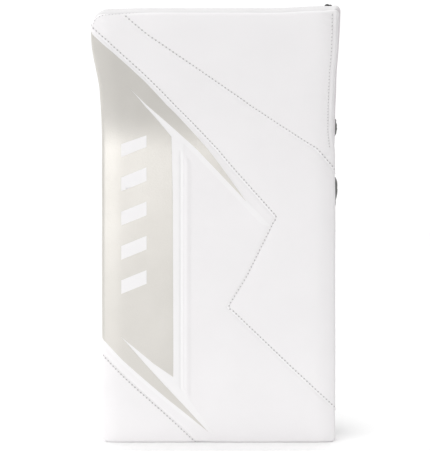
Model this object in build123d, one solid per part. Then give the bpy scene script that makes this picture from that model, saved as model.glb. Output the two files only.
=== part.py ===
from build123d import *
import math
import os

# A goalie blocker: a padded board with a bent upper end, and behind it a glove with
# jointed finger stalls, a thumb stall, side guards, a wrist cuff and its strap.
# +Z runs up the board from the cuff end, -Y is the striking face, +X the thumb side.
# The origin is the middle of the board's bottom end. All sizes are in millimetres.

# ---- Board ----
BOARD_WIDTH = 203.0
BOARD_LENGTH = 381.0
BOARD_DEPTH = 30.0
FLAT_RUN = 258.0
BEND_RADIUS = 110.0
BEND_ANGLE = math.radians(23.0)
SKIN = 1.2
FACE_FOAM = 4.8
PLATE = 2.5
PLATE_INSET = 7.0
PLATE_CORNER = 12.0
CORNER_RADIUS = 7.5
FACE_ROLL = 6.0
WALL_START = -5.0
OVERLAY = 0.3
BINDING_WIDTH = 6.0

# ---- Backhand base ----
BASE_LOW_X = -58.0
BASE_HIGH_X = 80.0
BASE_LOW_Z = 8.0
BASE_HIGH_Z = 246.0
BASE_THICK = 3.0
BASE_CORNER = 18.0

EYELET_HOLE = 2.5
EYELET_RIM = 4.5
LACE_RADIUS = 1.6
LACE_SPAN = 14.0

# ---- Glove ----
HAND_X = 20.0
FINGER_Y = 44.0
POCKET_WIDTH = 98.0
POCKET_DEPTH = 38.0
POCKET_LOW = 118.0
POCKET_WALL = 2.5
POCKET_RADIUS = 14.0
KNUCKLE_Z = 237.0
KNUCKLE_FLEX = 40.0
FINGER_PITCH = 24.0
FINGER_WIDTH = 22.6
FINGER_DEPTH = 26.0
FINGER_WALL = 2.2
FINGER_RADIUS = 9.0
MIDDLE_FLEX = 45.0
REST_CURL = 20.0
JOINT_GAP = 0.3
TIP_ROUND = 8.0
FINGERS = {
    # name: (column from the little finger, middle joint height, tip height)
    "little": (-1.5, 267.0, 304.0),
    "ring": (-0.5, 275.0, 318.0),
    "middle": (0.5, 279.0, 326.0),
    "index": (1.5, 275.0, 318.0),
}

# ---- Thumb ----
THUMB_X = 83.5
THUMB_Z = 156.0
THUMB_LEAN = 8.0
THUMB_LENGTH = 80.0
THUMB_FLEX = 30.0
SADDLE_LOW = 126.0
GUARD_SHELL = 3.2

# ---- Side guards: start, middle and end of each arc as (x, z) ----
INDEX_GUARD = [(97, 250), (107.8, 281), (95, 324)]
OUTER_GUARD = [(-42, 128), (-52, 205), (-40, 298)]

# ---- Cuff ----
CUFF_LOW_X = -46.0
CUFF_HIGH_X = 70.0
CUFF_LOW_Y = 18.3
CUFF_HIGH_Y = 94.0
CUFF_TOP = 92.0
CUFF_WALL = 5.0
CUFF_RADIUS = 20.0
CUFF_SPLIT_Y = 48.0
GUSSET_LOW_X = -14.0
GUSSET_HIGH_X = 38.0
GUSSET_WALL = 2.5
RIM_HEIGHT = 9.0
RIM_THICK = 1.2

# ---- Strap ----
STRAP_LOW_Z = 46.0
STRAP_WIDTH = 38.0
STRAP_THICK = 1.8
STRAP_HINGE_X = 44.0
STRAP_FREE_X = -40.0
PATCH = 1.0

BACK_Y = BOARD_DEPTH / 2
BASE_Y = BACK_Y + BASE_THICK
BEND_END = FLAT_RUN + BEND_RADIUS * BEND_ANGLE
FAR = 200.0


def bend_point(depth, run):
    """Point at a depth behind the middle surface and a run up it."""
    if run <= FLAT_RUN:
        return Vector(0, depth, run)
    turn = min((run - FLAT_RUN) / BEND_RADIUS, BEND_ANGLE)
    rest = max(run - BEND_END, 0.0)
    y = -BEND_RADIUS + (BEND_RADIUS + depth) * math.cos(turn) - rest * math.sin(turn)
    z = FLAT_RUN + (BEND_RADIUS + depth) * math.sin(turn) + rest * math.cos(turn)
    return Vector(0, y, z)


def depth_of(point):
    """Depth of a point behind the middle surface of the bent board."""
    if point.Z <= FLAT_RUN:
        return point.Y
    turn = math.atan2(point.Z - FLAT_RUN, point.Y + BEND_RADIUS)
    if turn <= BEND_ANGLE:
        return math.hypot(point.Z - FLAT_RUN, point.Y + BEND_RADIUS) - BEND_RADIUS
    across = (point.Y + BEND_RADIUS) * math.cos(BEND_ANGLE)
    along = (point.Z - FLAT_RUN) * math.sin(BEND_ANGLE)
    return across + along - BEND_RADIUS


def slab(front, back, low, high, x_low, x_high):
    """Bent slab between two depths, two runs and two x positions."""
    middle = (FLAT_RUN + BEND_END) / 2
    sides = []
    for depth in (front, back):
        points = [bend_point(depth, run) for run in (low, FLAT_RUN, middle, BEND_END, high)]
        sides.append(points)
    edges = []
    for points in sides:
        edges.append(Line(points[0], points[1]))
        edges.append(ThreePointArc(points[1], points[2], points[3]))
        edges.append(Line(points[3], points[4]))
    edges.append(Line(sides[0][0], sides[1][0]))
    edges.append(Line(sides[0][4], sides[1][4]))
    profile = Pos(x_low, 0, 0) * make_face(edges)
    return extrude(profile, amount=x_high - x_low, dir=(1, 0, 0))


def board_form(inset):
    """The rounded outside of the board, drawn in by an inset."""
    half = BOARD_WIDTH / 2 - inset
    deep = BACK_Y - inset
    form = slab(-deep, deep, inset, BOARD_LENGTH - inset, -half, half)
    corners = [edge for edge in form.edges() if abs(edge.length - 2 * deep) < 0.01]
    form = fillet(corners, CORNER_RADIUS - inset)
    rim = [edge for edge in form.edges() if abs(depth_of(edge @ 0.5) + deep) < 0.05]
    return fillet(rim, FACE_ROLL - inset)


def face_prism(points):
    """Prism along Y over an outline given as (x, run up the face)."""
    outline = []
    for (x_a, run_a), (x_b, run_b) in zip(points, points[1:] + points[:1]):
        pieces = 1
        if max(run_a, run_b) > FLAT_RUN and abs(run_a - run_b) > 1.0:
            pieces = math.ceil(abs(run_a - run_b) / 14.0)
        for step in range(pieces):
            share = step / pieces
            top = bend_point(-BACK_Y, run_a + share * (run_b - run_a))
            outline.append(Vector(x_a + share * (x_b - x_a), -FAR, top.Z))
    face = make_face(Polyline(*outline, close=True))
    return extrude(face, amount=2 * FAR, dir=(0, 1, 0))


def block(x_low, x_high, y_low, y_high, z_low, z_high):
    size = (x_high - x_low, y_high - y_low, z_high - z_low)
    centre = ((x_low + x_high) / 2, (y_low + y_high) / 2, (z_low + z_high) / 2)
    return Pos(*centre) * Box(*size)


def round_bar(x_low, x_high, y_low, y_high, z_low, z_high, radius):
    """Upright bar with a rounded rectangular section."""
    centre = Pos((x_low + x_high) / 2, (y_low + y_high) / 2, z_low)
    section = centre * RectangleRounded(x_high - x_low, y_high - y_low, radius)
    return extrude(section, amount=z_high - z_low)


def side_prism(points, x_low, x_high):
    """Prism along X over an outline given as (y, z)."""
    face = make_face(Polyline(*[Vector(x_low, y, z) for y, z in points], close=True))
    return extrude(face, amount=x_high - x_low, dir=(1, 0, 0))


# ---- Board sub-parts ----
def seam_upper():
    return [(-96, 401), (-57.4, 364), (1.3, 321.5), (53.6, 282.4), (85.3, 259), (112, 228)]


def seam_zigzag():
    return [(-112, 384), (-63.8, 331), (-37.7, 302), (50.5, 199), (8.4, 120), (112, 19.5)]


def seam_corner():
    return [(-112, 88.5), (-63.5, 43.2), (-14, -4)]


def face_panels(cover):
    upper = seam_upper()
    zigzag = seam_zigzag()
    corner = seam_corner()
    front = cover & slab(-FAR / 5, WALL_START, -9, BOARD_LENGTH + 9, -FAR, FAR)
    outlines = {
        "face_panel_upper": upper + [(140, 228), (140, 450), (-140, 450)],
        "face_panel_middle": zigzag
        + [(140, 19.5), (140, 228)]
        + upper[::-1]
        + [(-140, 450), (-140, 384)],
        "face_panel_main": zigzag
        + [(140, 19.5), (140, -40), (-14, -40)]
        + corner[::-1]
        + [(-140, 88.5), (-140, 384)],
        "face_panel_corner": corner + [(-14, -40), (-140, -40), (-140, 88.5)],
    }
    return {name: front & face_prism(outline) for name, outline in outlines.items()}


def wall_strips(cover):
    """Gusset between face and back, as its four sewn strips."""
    ring = cover & slab(WALL_START, BACK_Y - SKIN, -9, BOARD_LENGTH + 9, -FAR, FAR)
    side = BOARD_WIDTH / 2 - CORNER_RADIUS
    top = BOARD_LENGTH - CORNER_RADIUS
    deep = BOARD_DEPTH
    return {
        "wall_outer_side": ring & slab(-deep, deep, -9, BOARD_LENGTH + 9, -FAR, -side),
        "wall_thumb_side": ring & slab(-deep, deep, -9, BOARD_LENGTH + 9, side, FAR),
        "wall_bottom": ring & block(-side, side, -FAR, FAR, -9, CORNER_RADIUS),
        "wall_top": ring & top_end(side, top),
    }


def top_end(side, run):
    """Region beyond a run on the straight stretch above the bend."""
    low = [bend_point(depth, run) for depth in (-40, 40)]
    high = [bend_point(depth, run + 60) for depth in (40, -40)]
    return side_prism([(point.Y, point.Z) for point in low + high], -side, side)


def impact_plate(front, back):
    """Stiff bent sheet between the two foams, a little smaller than they are."""
    half = BOARD_WIDTH / 2 - PLATE_INSET
    plate = slab(front, back, PLATE_INSET, BOARD_LENGTH - PLATE_INSET, -half, half)
    corners = [edge for edge in plate.edges() if abs(edge.length - PLATE) < 0.01]
    return fillet(corners, PLATE_CORNER)


def board_layers():
    inner = board_form(SKIN)
    plate_front = -BACK_Y + SKIN + FACE_FOAM
    plate_back = plate_front + PLATE
    ends = (-9, BOARD_LENGTH + 9, -FAR, FAR)
    return {
        "face_foam": inner & slab(-BOARD_DEPTH, plate_front, *ends),
        "impact_plate": impact_plate(plate_front, plate_back),
        "core_foam": inner & slab(plate_back, BOARD_DEPTH, *ends),
    }


def white_border():
    outline = [(-95, 361), (-38.2, 296), (2, 243.5), (22.1, 215), (44, 190), (37.3, 192)]
    outline += [(-33, 263.5), (-33, 49.4), (-27, 33), (-9.4, 12), (-28.2, 25), (-63.5, 55)]
    outline += [(-95, 84)]
    sheet = slab(-BACK_Y - OVERLAY, -BACK_Y, 1, BOARD_LENGTH - 8, -95, 60)
    return sheet & face_prism(outline)


def silver_panel():
    outline = [(-94.5, 360), (-38.2, 295), (2, 242.9), (20, 216), (12, 224.8), (-77.4, 321)]
    outline += [(-58.3, 291), (-41, 270.7), (-39.8, 58.5), (-71, 82.3), (-84, 92)]
    outline += [(-63.5, 69.6), (-12, 13.5), (-28.2, 26), (-63.5, 56), (-94.5, 85)]
    front = -BACK_Y - 2 * OVERLAY
    sheet = slab(front, front + OVERLAY, 1, BOARD_LENGTH - 8, -94.5, 60)
    return sheet & face_prism(outline)


def slanted_bars():
    """Five plain slanted bars that decorate the silver panel."""
    back = -BACK_Y - 2 * OVERLAY
    sheet = slab(back - OVERLAY, back, 1, BOARD_LENGTH - 8, -90, -60)
    bars = Part()
    for step in range(5):
        low = 128 + 30 * step
        bars += sheet & face_prism([(-86, low), (-62, low + 10), (-62, low + 24), (-86, low + 14)])
    return bars


def back_binding():
    """Flat tape sewn round the back edge of the board."""
    outer = BOARD_WIDTH / 2 - 0.6
    inner = outer - BINDING_WIDTH
    ring = slab(BACK_Y, BACK_Y + SKIN, 0.6, BOARD_LENGTH - 0.6, -outer, outer)
    hole = slab(
        BACK_Y - 1, BACK_Y + SKIN + 1, 0.6 + BINDING_WIDTH, BOARD_LENGTH - 0.6 - BINDING_WIDTH,
        -inner, inner,
    )
    corners = [edge for edge in ring.edges() if abs(edge.length - SKIN) < 0.01]
    return fillet(corners, CORNER_RADIUS - 1) - hole


def lace_knot():
    """Tied end of the black lace that closes the cover, behind the top corner."""
    place = bend_point(BACK_Y + SKIN + 3.2, BOARD_LENGTH - 0.5)
    return Pos(95.5, place.Y, place.Z) * Sphere(3.0)


# ---- Backhand base and its fastenings ----
def lace_places():
    """Lower end of each lace: x and z."""
    places = []
    for z in (24, 62, 100):
        places.append((BASE_LOW_X + 6, z))
    for z in (100, 158, 216):
        places.append((BASE_HIGH_X - 6, z))
    return places


def eyelet_points():
    points = []
    for x, z in lace_places():
        points += [(x, z), (x, z + LACE_SPAN)]
    return points


def along_y(x, z, y_low, y_high, radius):
    place = Plane(origin=(x, y_low, z), x_dir=(1, 0, 0), z_dir=(0, 1, 0))
    return extrude(place * Circle(radius), amount=y_high - y_low)


def backhand_base():
    width = BASE_HIGH_X - BASE_LOW_X
    height = BASE_HIGH_Z - BASE_LOW_Z
    centre = ((BASE_LOW_X + BASE_HIGH_X) / 2, BACK_Y, (BASE_LOW_Z + BASE_HIGH_Z) / 2)
    place = Plane(origin=centre, x_dir=(1, 0, 0), z_dir=(0, 1, 0))
    base = extrude(place * RectangleRounded(width, height, BASE_CORNER), amount=BASE_THICK)
    for x, z in eyelet_points():
        base -= along_y(x, z, BACK_Y - 1, BASE_Y + 1, EYELET_HOLE)
    return base


def eyelets():
    rings = Part()
    for x, z in eyelet_points():
        ring = along_y(x, z, BASE_Y, BASE_Y + 1.2, EYELET_RIM)
        rings += ring - along_y(x, z, BASE_Y - 1, BASE_Y + 3, EYELET_HOLE)
    return rings


def attachment_laces():
    laces = Part()
    over = BASE_Y + 1.4 + LACE_RADIUS
    for x, z in lace_places():
        lace = along_y(x, z, BACK_Y + 0.1, over, LACE_RADIUS)
        lace += along_y(x, z + LACE_SPAN, BACK_Y + 0.1, over, LACE_RADIUS)
        bar = Pos(x, over, z) * extrude(Circle(LACE_RADIUS), amount=LACE_SPAN)
        lace += bar + Pos(x, over, z) * Sphere(LACE_RADIUS)
        laces += lace + Pos(x, over, z + LACE_SPAN) * Sphere(LACE_RADIUS)
    return laces


def backhand_pad():
    low = HAND_X - POCKET_WIDTH / 2 + 4
    high = HAND_X + POCKET_WIDTH / 2 - 4
    top = BASE_HIGH_Z - 4
    front = FINGER_Y - POCKET_DEPTH / 2 - JOINT_GAP
    pad = block(low, high, BASE_Y, front, POCKET_LOW + 1, top)
    return fillet(pad.edges().filter_by(Axis.Y), 12)


# ---- Glove pocket ----
def pocket_tube():
    low = HAND_X - POCKET_WIDTH / 2
    high = HAND_X + POCKET_WIDTH / 2
    front = FINGER_Y - POCKET_DEPTH / 2
    back = FINGER_Y + POCKET_DEPTH / 2
    wall = POCKET_WALL
    tube = round_bar(low, high, front, back, POCKET_LOW, KNUCKLE_Z + 9, POCKET_RADIUS)
    tube -= round_bar(
        low + wall, high - wall, front + wall, back - wall,
        POCKET_LOW - 1, KNUCKLE_Z + 10, POCKET_RADIUS - wall,
    )
    reach = math.tan(math.radians(KNUCKLE_FLEX)) * 40
    top = KNUCKLE_Z - JOINT_GAP
    keep = [(0, 0), (0, top), (FINGER_Y, top), (FINGER_Y + 40, top - reach), (FINGER_Y + 40, 0)]
    tube &= side_prism(keep, -FAR, FAR)
    return tube - thumb_way()


def thumb_way():
    """Passage from the hand pocket into the thumb saddle."""
    edge = HAND_X + POCKET_WIDTH / 2
    return block(edge - 9, THUMB_X, FINGER_Y - 9.5, FINGER_Y + 9.5, SADDLE_LOW + 3, THUMB_Z + 1)


def glove_halves():
    tube = pocket_tube()
    return {
        "glove_back_liner": tube & block(-FAR, FAR, 0, FINGER_Y, 0, 2 * FAR),
        "palm_leather": tube & block(-FAR, FAR, FINGER_Y, FAR, 0, 2 * FAR),
    }


def palm_patch():
    """Extra layer of palm leather where the stick shaft is gripped."""
    face = FINGER_Y + POCKET_DEPTH / 2
    patch = block(HAND_X - 30, HAND_X + 32, face, face + 1.3, 136, 214)
    return fillet(patch.edges().filter_by(Axis.Y), 14)


def wrist_taper():
    """Soft leather between the wide cuff and the hand pocket."""
    faces = []
    for wall in (0.0, POCKET_WALL):
        cuff = Pos(
            (CUFF_LOW_X + CUFF_HIGH_X) / 2, (CUFF_LOW_Y + CUFF_HIGH_Y) / 2, CUFF_TOP
        ) * RectangleRounded(
            CUFF_HIGH_X - CUFF_LOW_X - 2 * wall,
            CUFF_HIGH_Y - CUFF_LOW_Y - 2 * wall,
            CUFF_RADIUS - wall,
        )
        pocket = Pos(HAND_X, FINGER_Y, POCKET_LOW) * RectangleRounded(
            POCKET_WIDTH - 2 * wall, POCKET_DEPTH - 2 * wall, POCKET_RADIUS - wall
        )
        faces.append(loft([cuff, pocket], ruled=True))
    return faces[0] - faces[1]


# ---- Fingers ----
def finger_column(name):
    column, middle, tip = FINGERS[name]
    return HAND_X + column * FINGER_PITCH, middle, tip


def finger_bar(x, z_low, z_high, wall):
    half_width = FINGER_WIDTH / 2 - wall
    half_depth = FINGER_DEPTH / 2 - wall
    return round_bar(
        x - half_width, x + half_width, FINGER_Y - half_depth, FINGER_Y + half_depth,
        z_low, z_high, FINGER_RADIUS - wall,
    )


def finger_proximal(name):
    x, middle, _ = finger_column(name)
    tube = finger_bar(x, KNUCKLE_Z, middle, 0) - finger_bar(x, KNUCKLE_Z - 9, middle + 9, FINGER_WALL)
    knuckle = 30 * math.tan(math.radians(KNUCKLE_FLEX))
    fold = 30 * math.tan(math.radians(MIDDLE_FLEX))
    low = KNUCKLE_Z + JOINT_GAP
    high = middle - JOINT_GAP
    keep = [(0, low), (FINGER_Y, low), (FINGER_Y + 30, low + knuckle)]
    keep += [(FINGER_Y + 30, high - fold), (FINGER_Y, high), (0, high)]
    if low + knuckle > high - fold:
        meet = (high - low) / (math.tan(math.radians(KNUCKLE_FLEX)) + math.tan(math.radians(MIDDLE_FLEX)))
        tip_z = low + meet * math.tan(math.radians(KNUCKLE_FLEX))
        keep = [(0, low), (FINGER_Y, low), (FINGER_Y + meet, tip_z), (FINGER_Y, high), (0, high)]
    return tube & side_prism(keep, x - 20, x + 20)


def finger_distal(name):
    x, middle, tip = finger_column(name)
    outer = finger_bar(x, middle, tip, 0)
    outer = fillet(outer.edges().filter_by(lambda edge: (edge @ 0.5).Z > tip - 0.01), TIP_ROUND)
    cup = outer - finger_bar(x, middle - 9, tip - 4, FINGER_WALL)
    fold = 30 * math.tan(math.radians(MIDDLE_FLEX))
    low = middle + JOINT_GAP
    keep = [(0, low), (FINGER_Y, low), (FINGER_Y + 30, low + fold)]
    keep += [(FINGER_Y + 30, 2 * FAR), (0, 2 * FAR)]
    cup &= side_prism(keep, x - 20, x + 20)
    return cup.rotate(Axis((x, FINGER_Y, middle), (-1, 0, 0)), REST_CURL)


# ---- Thumb ----
def thumb_bar(z_low, z_high, grow):
    half_width = FINGER_WIDTH / 2 + grow
    half_depth = FINGER_DEPTH / 2 + grow
    return round_bar(
        THUMB_X - half_width, THUMB_X + half_width, FINGER_Y - half_depth, FINGER_Y + half_depth,
        z_low, z_high, FINGER_RADIUS + grow,
    )


def lean_thumb(shape):
    return shape.rotate(Axis((THUMB_X, FINGER_Y, THUMB_Z), (0, 1, 0)), THUMB_LEAN)


def thumb_region():
    reach = 40 * math.tan(math.radians(THUMB_FLEX))
    low = THUMB_Z + JOINT_GAP
    outline = [(0, low + 3), (FINGER_Y, low + 3), (FINGER_Y + 40, low + 3 + reach)]
    outline += [(FINGER_Y + 40, 2 * FAR), (0, 2 * FAR)]
    return side_prism(outline, THUMB_X - 40, THUMB_X + 40)


def thumb_stall():
    tip = THUMB_Z + THUMB_LENGTH
    outer = thumb_bar(THUMB_Z, tip, 0)
    outer = fillet(outer.edges().filter_by(lambda edge: (edge @ 0.5).Z > tip - 0.01), TIP_ROUND)
    cup = outer - thumb_bar(THUMB_Z - 9, tip - 4, -FINGER_WALL)
    return lean_thumb(cup & thumb_region())


def thumb_guard():
    """Stiff cap over the back, outer side and tip of the thumb stall."""
    tip = THUMB_Z + THUMB_LENGTH
    outer = thumb_bar(THUMB_Z + 14, tip + GUARD_SHELL, GUARD_SHELL)
    outer = fillet(
        outer.edges().filter_by(lambda edge: (edge @ 0.5).Z > tip + GUARD_SHELL - 0.01),
        TIP_ROUND + GUARD_SHELL,
    )
    inner = thumb_bar(THUMB_Z - 9, tip, 0)
    inner = fillet(inner.edges().filter_by(lambda edge: (edge @ 0.5).Z > tip - 0.01), TIP_ROUND)
    shell = outer - inner
    palm_side = [(FINGER_Y + 4, THUMB_Z), (FINGER_Y + 4, tip - 22), (FINGER_Y + 40, tip - 4)]
    palm_side += [(FINGER_Y + 40, THUMB_Z)]
    shell -= side_prism(palm_side, THUMB_X - 40, THUMB_X + 40)
    return lean_thumb(shell)


def thumb_saddle():
    """Root of the thumb, open to the hand pocket and to the stall above."""
    edge = HAND_X + POCKET_WIDTH / 2
    wall = FINGER_WALL
    high_x = THUMB_X + FINGER_WIDTH / 2
    half = FINGER_DEPTH / 2
    form = round_bar(
        edge, high_x, FINGER_Y - half, FINGER_Y + half, SADDLE_LOW, THUMB_Z - JOINT_GAP, 5
    )
    hollow = round_bar(
        edge + wall, high_x - wall, FINGER_Y - half + wall, FINGER_Y + half - wall,
        SADDLE_LOW + wall, THUMB_Z + 1, 3,
    )
    reach = 40 * math.tan(math.radians(THUMB_FLEX))
    top = THUMB_Z - JOINT_GAP
    keep = [(0, 0), (0, top), (FINGER_Y, top), (FINGER_Y + 40, top - reach), (FINGER_Y + 40, 0)]
    return (form - hollow - thumb_way()) & side_prism(keep, -FAR, FAR)


# ---- Side guards ----
def curved_wall(points, inward, thick, y_low, y_high):
    """Upright wall that follows an arc through three (x, z) points, thickened sideways."""
    start, middle, end = [Vector(x - inward, y_low, z) for x, z in points]
    shift = Vector(-thick, 0, 0)
    edges = [
        ThreePointArc(start, middle, end),
        Line(end, end + shift),
        ThreePointArc(end + shift, middle + shift, start + shift),
        Line(start + shift, start),
    ]
    return extrude(make_face(edges), amount=y_high - y_low, dir=(0, 1, 0))


def index_guard_layers():
    start = BACK_Y + SKIN + JOINT_GAP
    return {
        "index_guard_foam": curved_wall(INDEX_GUARD, 0, 8, start, 68),
        "index_guard_plate": curved_wall(INDEX_GUARD, 8, 2.5, start, 66),
        "index_guard_lining": curved_wall(INDEX_GUARD, 10.5, 3, start, 68),
    }


def outer_guard_layers():
    return {
        "outer_guard_foam": curved_wall(OUTER_GUARD, 0, 6, BASE_Y, 60),
        "outer_guard_plate": curved_wall(OUTER_GUARD, -2.5, 2.5, BASE_Y, 58),
    }


# ---- Cuff ----
def cuff_tube(grow, wall, z_low, z_high):
    outer = round_bar(
        CUFF_LOW_X - grow, CUFF_HIGH_X + grow, CUFF_LOW_Y - grow, CUFF_HIGH_Y + grow,
        z_low, z_high, CUFF_RADIUS + grow,
    )
    thick = wall + grow
    inner = round_bar(
        CUFF_LOW_X - grow + thick, CUFF_HIGH_X + grow - thick,
        CUFF_LOW_Y - grow + thick, CUFF_HIGH_Y + grow - thick,
        z_low - 1, z_high + 1, CUFF_RADIUS + grow - thick,
    )
    return outer - inner


def cuff_parts():
    thick = cuff_tube(0, CUFF_WALL, 0, CUFF_TOP)
    thin = cuff_tube(0, GUSSET_WALL, 0, CUFF_TOP)
    back = block(-FAR, FAR, 0, CUFF_SPLIT_Y, -1, CUFF_TOP + 1)
    outer = block(-FAR, GUSSET_LOW_X, CUFF_SPLIT_Y, FAR, -1, CUFF_TOP + 1)
    thumb = block(GUSSET_HIGH_X, FAR, CUFF_SPLIT_Y, FAR, -1, CUFF_TOP + 1)
    middle = block(GUSSET_LOW_X, GUSSET_HIGH_X, CUFF_SPLIT_Y, FAR, -1, CUFF_TOP + 1)
    rim = cuff_tube(RIM_THICK, 0, 0, RIM_HEIGHT)
    base_front = block(-FAR, FAR, 0, BASE_Y + 1.5, -1, CUFF_TOP)
    return {
        "cuff_back_liner": thick & back,
        "cuff_outer_wall": thick & outer,
        "cuff_thumb_wall": thick & thumb,
        "cuff_palm_gusset": thin & middle,
        "cuff_rim_binding": rim - base_front,
    }


def cuff_plate(x_low, x_high):
    plate = block(x_low, x_high, 41, 71, 14, 84)
    return fillet(plate.edges().filter_by(Axis.X), 8)


# ---- Strap ----
def strap_parts():
    face = CUFF_HIGH_Y
    top = STRAP_LOW_Z + STRAP_WIDTH
    under = face + 2 * PATCH + 0.3
    loop = block(GUSSET_LOW_X - 12, 26, face, face + PATCH, STRAP_LOW_Z + 2, top - 2)
    hook = block(GUSSET_LOW_X - 12, 6, face + PATCH + 0.3, under, STRAP_LOW_Z + 2, top - 2)
    anchor = block(STRAP_HINGE_X + 2.2, STRAP_HINGE_X + 6, face, face + PATCH, STRAP_LOW_Z, top)
    strap = block(STRAP_FREE_X, STRAP_HINGE_X, under, under + STRAP_THICK, STRAP_LOW_Z, top)
    ends = [edge for edge in strap.edges().filter_by(Axis.Y) if (edge @ 0.5).X < 0]
    strap = fillet(ends, 12)
    return {"loop_patch": loop, "hook_patch": hook, "strap_anchor": anchor, "wrist_strap": strap}


def all_parts():
    cover = board_form(0) - board_form(SKIN)
    back_region = slab(BACK_Y - SKIN, BOARD_DEPTH, -9, BOARD_LENGTH + 9, -FAR, FAR)
    parts = {"board_back_cover": cover & back_region}
    parts.update(board_layers())
    parts.update(face_panels(cover))
    parts.update(wall_strips(cover))
    parts["white_border"] = white_border()
    parts["silver_panel"] = silver_panel()
    parts["slanted_bars"] = slanted_bars()
    parts["back_edge_binding"] = back_binding()
    parts["lace_knot"] = lace_knot()
    parts["backhand_base"] = backhand_base()
    parts["backhand_pad"] = backhand_pad()
    parts["eyelets"] = eyelets()
    parts["attachment_laces"] = attachment_laces()
    parts.update(glove_halves())
    parts["palm_patch"] = palm_patch()
    parts["wrist_taper"] = wrist_taper()
    for name in FINGERS:
        parts[f"{name}_stall_proximal"] = finger_proximal(name)
        parts[f"{name}_stall_distal"] = finger_distal(name)
    parts["thumb_saddle"] = thumb_saddle()
    parts["thumb_stall"] = thumb_stall()
    parts["thumb_guard"] = thumb_guard()
    parts.update(index_guard_layers())
    parts.update(outer_guard_layers())
    parts.update(cuff_parts())
    parts["cuff_outer_plate"] = cuff_plate(CUFF_LOW_X - 2.5, CUFF_LOW_X)
    parts["cuff_thumb_plate"] = cuff_plate(CUFF_HIGH_X, CUFF_HIGH_X + 2.5)
    parts.update(strap_parts())
    return parts


os.makedirs("parts", exist_ok=True)
for node, shape in all_parts().items():
    export_step(shape, f"parts/{node}.step")
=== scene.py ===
import math

import bpy
import numpy as np
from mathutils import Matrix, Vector, geometry, noise


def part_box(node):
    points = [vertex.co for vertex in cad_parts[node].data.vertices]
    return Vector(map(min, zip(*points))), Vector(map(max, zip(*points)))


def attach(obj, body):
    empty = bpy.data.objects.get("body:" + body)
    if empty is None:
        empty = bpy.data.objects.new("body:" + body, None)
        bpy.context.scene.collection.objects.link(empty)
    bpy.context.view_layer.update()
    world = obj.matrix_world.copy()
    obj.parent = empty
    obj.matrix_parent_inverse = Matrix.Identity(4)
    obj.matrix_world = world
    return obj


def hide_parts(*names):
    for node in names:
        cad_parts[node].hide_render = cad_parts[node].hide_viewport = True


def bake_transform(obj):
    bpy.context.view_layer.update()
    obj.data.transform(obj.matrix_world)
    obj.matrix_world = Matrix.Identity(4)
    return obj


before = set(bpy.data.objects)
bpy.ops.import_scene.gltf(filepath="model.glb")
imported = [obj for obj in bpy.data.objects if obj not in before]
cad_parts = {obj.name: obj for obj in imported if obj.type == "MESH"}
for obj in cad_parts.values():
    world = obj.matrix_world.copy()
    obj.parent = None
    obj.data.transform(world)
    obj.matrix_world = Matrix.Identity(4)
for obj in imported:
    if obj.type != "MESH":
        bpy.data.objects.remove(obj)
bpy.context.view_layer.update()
MM = 0.001

# ---- Board: the same bent form as the CAD board, in metres ----
HALF_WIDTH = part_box("board_back_cover")[1].x
BOARD_LENGTH = 0.381
HALF_DEPTH = 0.015
FLAT_RUN = 0.258
BEND_RADIUS = 0.110
BEND_ANGLE = math.radians(23.0)

# ---- The padded edge of the cover ----
ROLL_RADIUS = 3.6 * MM
CROWN_WIDTH = 15 * MM
CROWN_DROP = 2.2 * MM
CROWN_SLOPE = math.atan(2 * CROWN_DROP / CROWN_WIDTH)
EDGE = ROLL_RADIUS * (1 - math.sin(CROWN_SLOPE))
ROLL_RUN = ROLL_RADIUS * (math.pi / 2 - CROWN_SLOPE)
# inner corner radii: bottom left, top left, bottom right, top right
CORNERS = (5.0 * MM, 9.5 * MM, 1.5 * MM, 2.5 * MM)
WALL_SEAM_SIDE = 9.0 * MM
WALL_SEAM_TOP = 5.6 * MM
SHEET = 1.0 * MM
RING_STEP = 2.4 * MM

X_INNER = HALF_WIDTH - EDGE
RUN_LOW = EDGE
RUN_HIGH = BOARD_LENGTH - EDGE


# ---- Small helpers ----
def smooth(value):
    """Eased step from 0 to 1."""
    value = np.clip(value, 0, 1)
    return value * value * (3 - 2 * value)


def bend(x, run, depth):
    """Points on the bent board: across, up the run, and depth behind the middle surface."""
    x, run, depth = np.broadcast_arrays(x, run, depth)
    turn = np.clip((run - FLAT_RUN) / BEND_RADIUS, 0, BEND_ANGLE)
    rest = np.maximum(run - FLAT_RUN - BEND_RADIUS * BEND_ANGLE, 0)
    flat = run <= FLAT_RUN
    y = -BEND_RADIUS + (BEND_RADIUS + depth) * np.cos(turn) - rest * np.sin(turn)
    z = FLAT_RUN + (BEND_RADIUS + depth) * np.sin(turn) + rest * np.cos(turn)
    return np.stack([x, np.where(flat, depth, y), np.where(flat, run, z)], axis=-1)


def swell(x, run, depth):
    """How the stuffed cover leaves its straight outline: sideways and up the run."""
    left = smooth((-x - 20 * MM) / (80 * MM))
    outward = 0.9 + 4.2 * smooth((run - 0.312) / 0.045) + 1.6 * smooth((0.085 - run) / 0.04)
    right = smooth((x - 60 * MM) / (40 * MM))
    upper = smooth((run - 0.25) / 0.03)
    lean = smooth((depth + HALF_DEPTH - 4 * MM) / (18 * MM))
    pull = 0.9 + upper * (2.6 * lean - 1.9) + 1.2 * smooth((run - 0.325) / 0.03)
    top = smooth((run - 0.335) / 0.04)
    corner = 1.7 * smooth((x - 45 * MM) / (45 * MM)) + 1.6 * smooth((x - 95 * MM) / (6 * MM))
    corner = corner - 0.9 * smooth((-x - 55 * MM) / (40 * MM))
    return (right * pull - left * outward) * MM, top * corner * MM


def swollen(x, run, depth):
    """Points on the bent board once its cover has swelled."""
    across, along = swell(x, run, depth)
    points = bend(x + across, run + along, depth)
    points[..., 2] = np.maximum(points[..., 2], 0)
    return points


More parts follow.
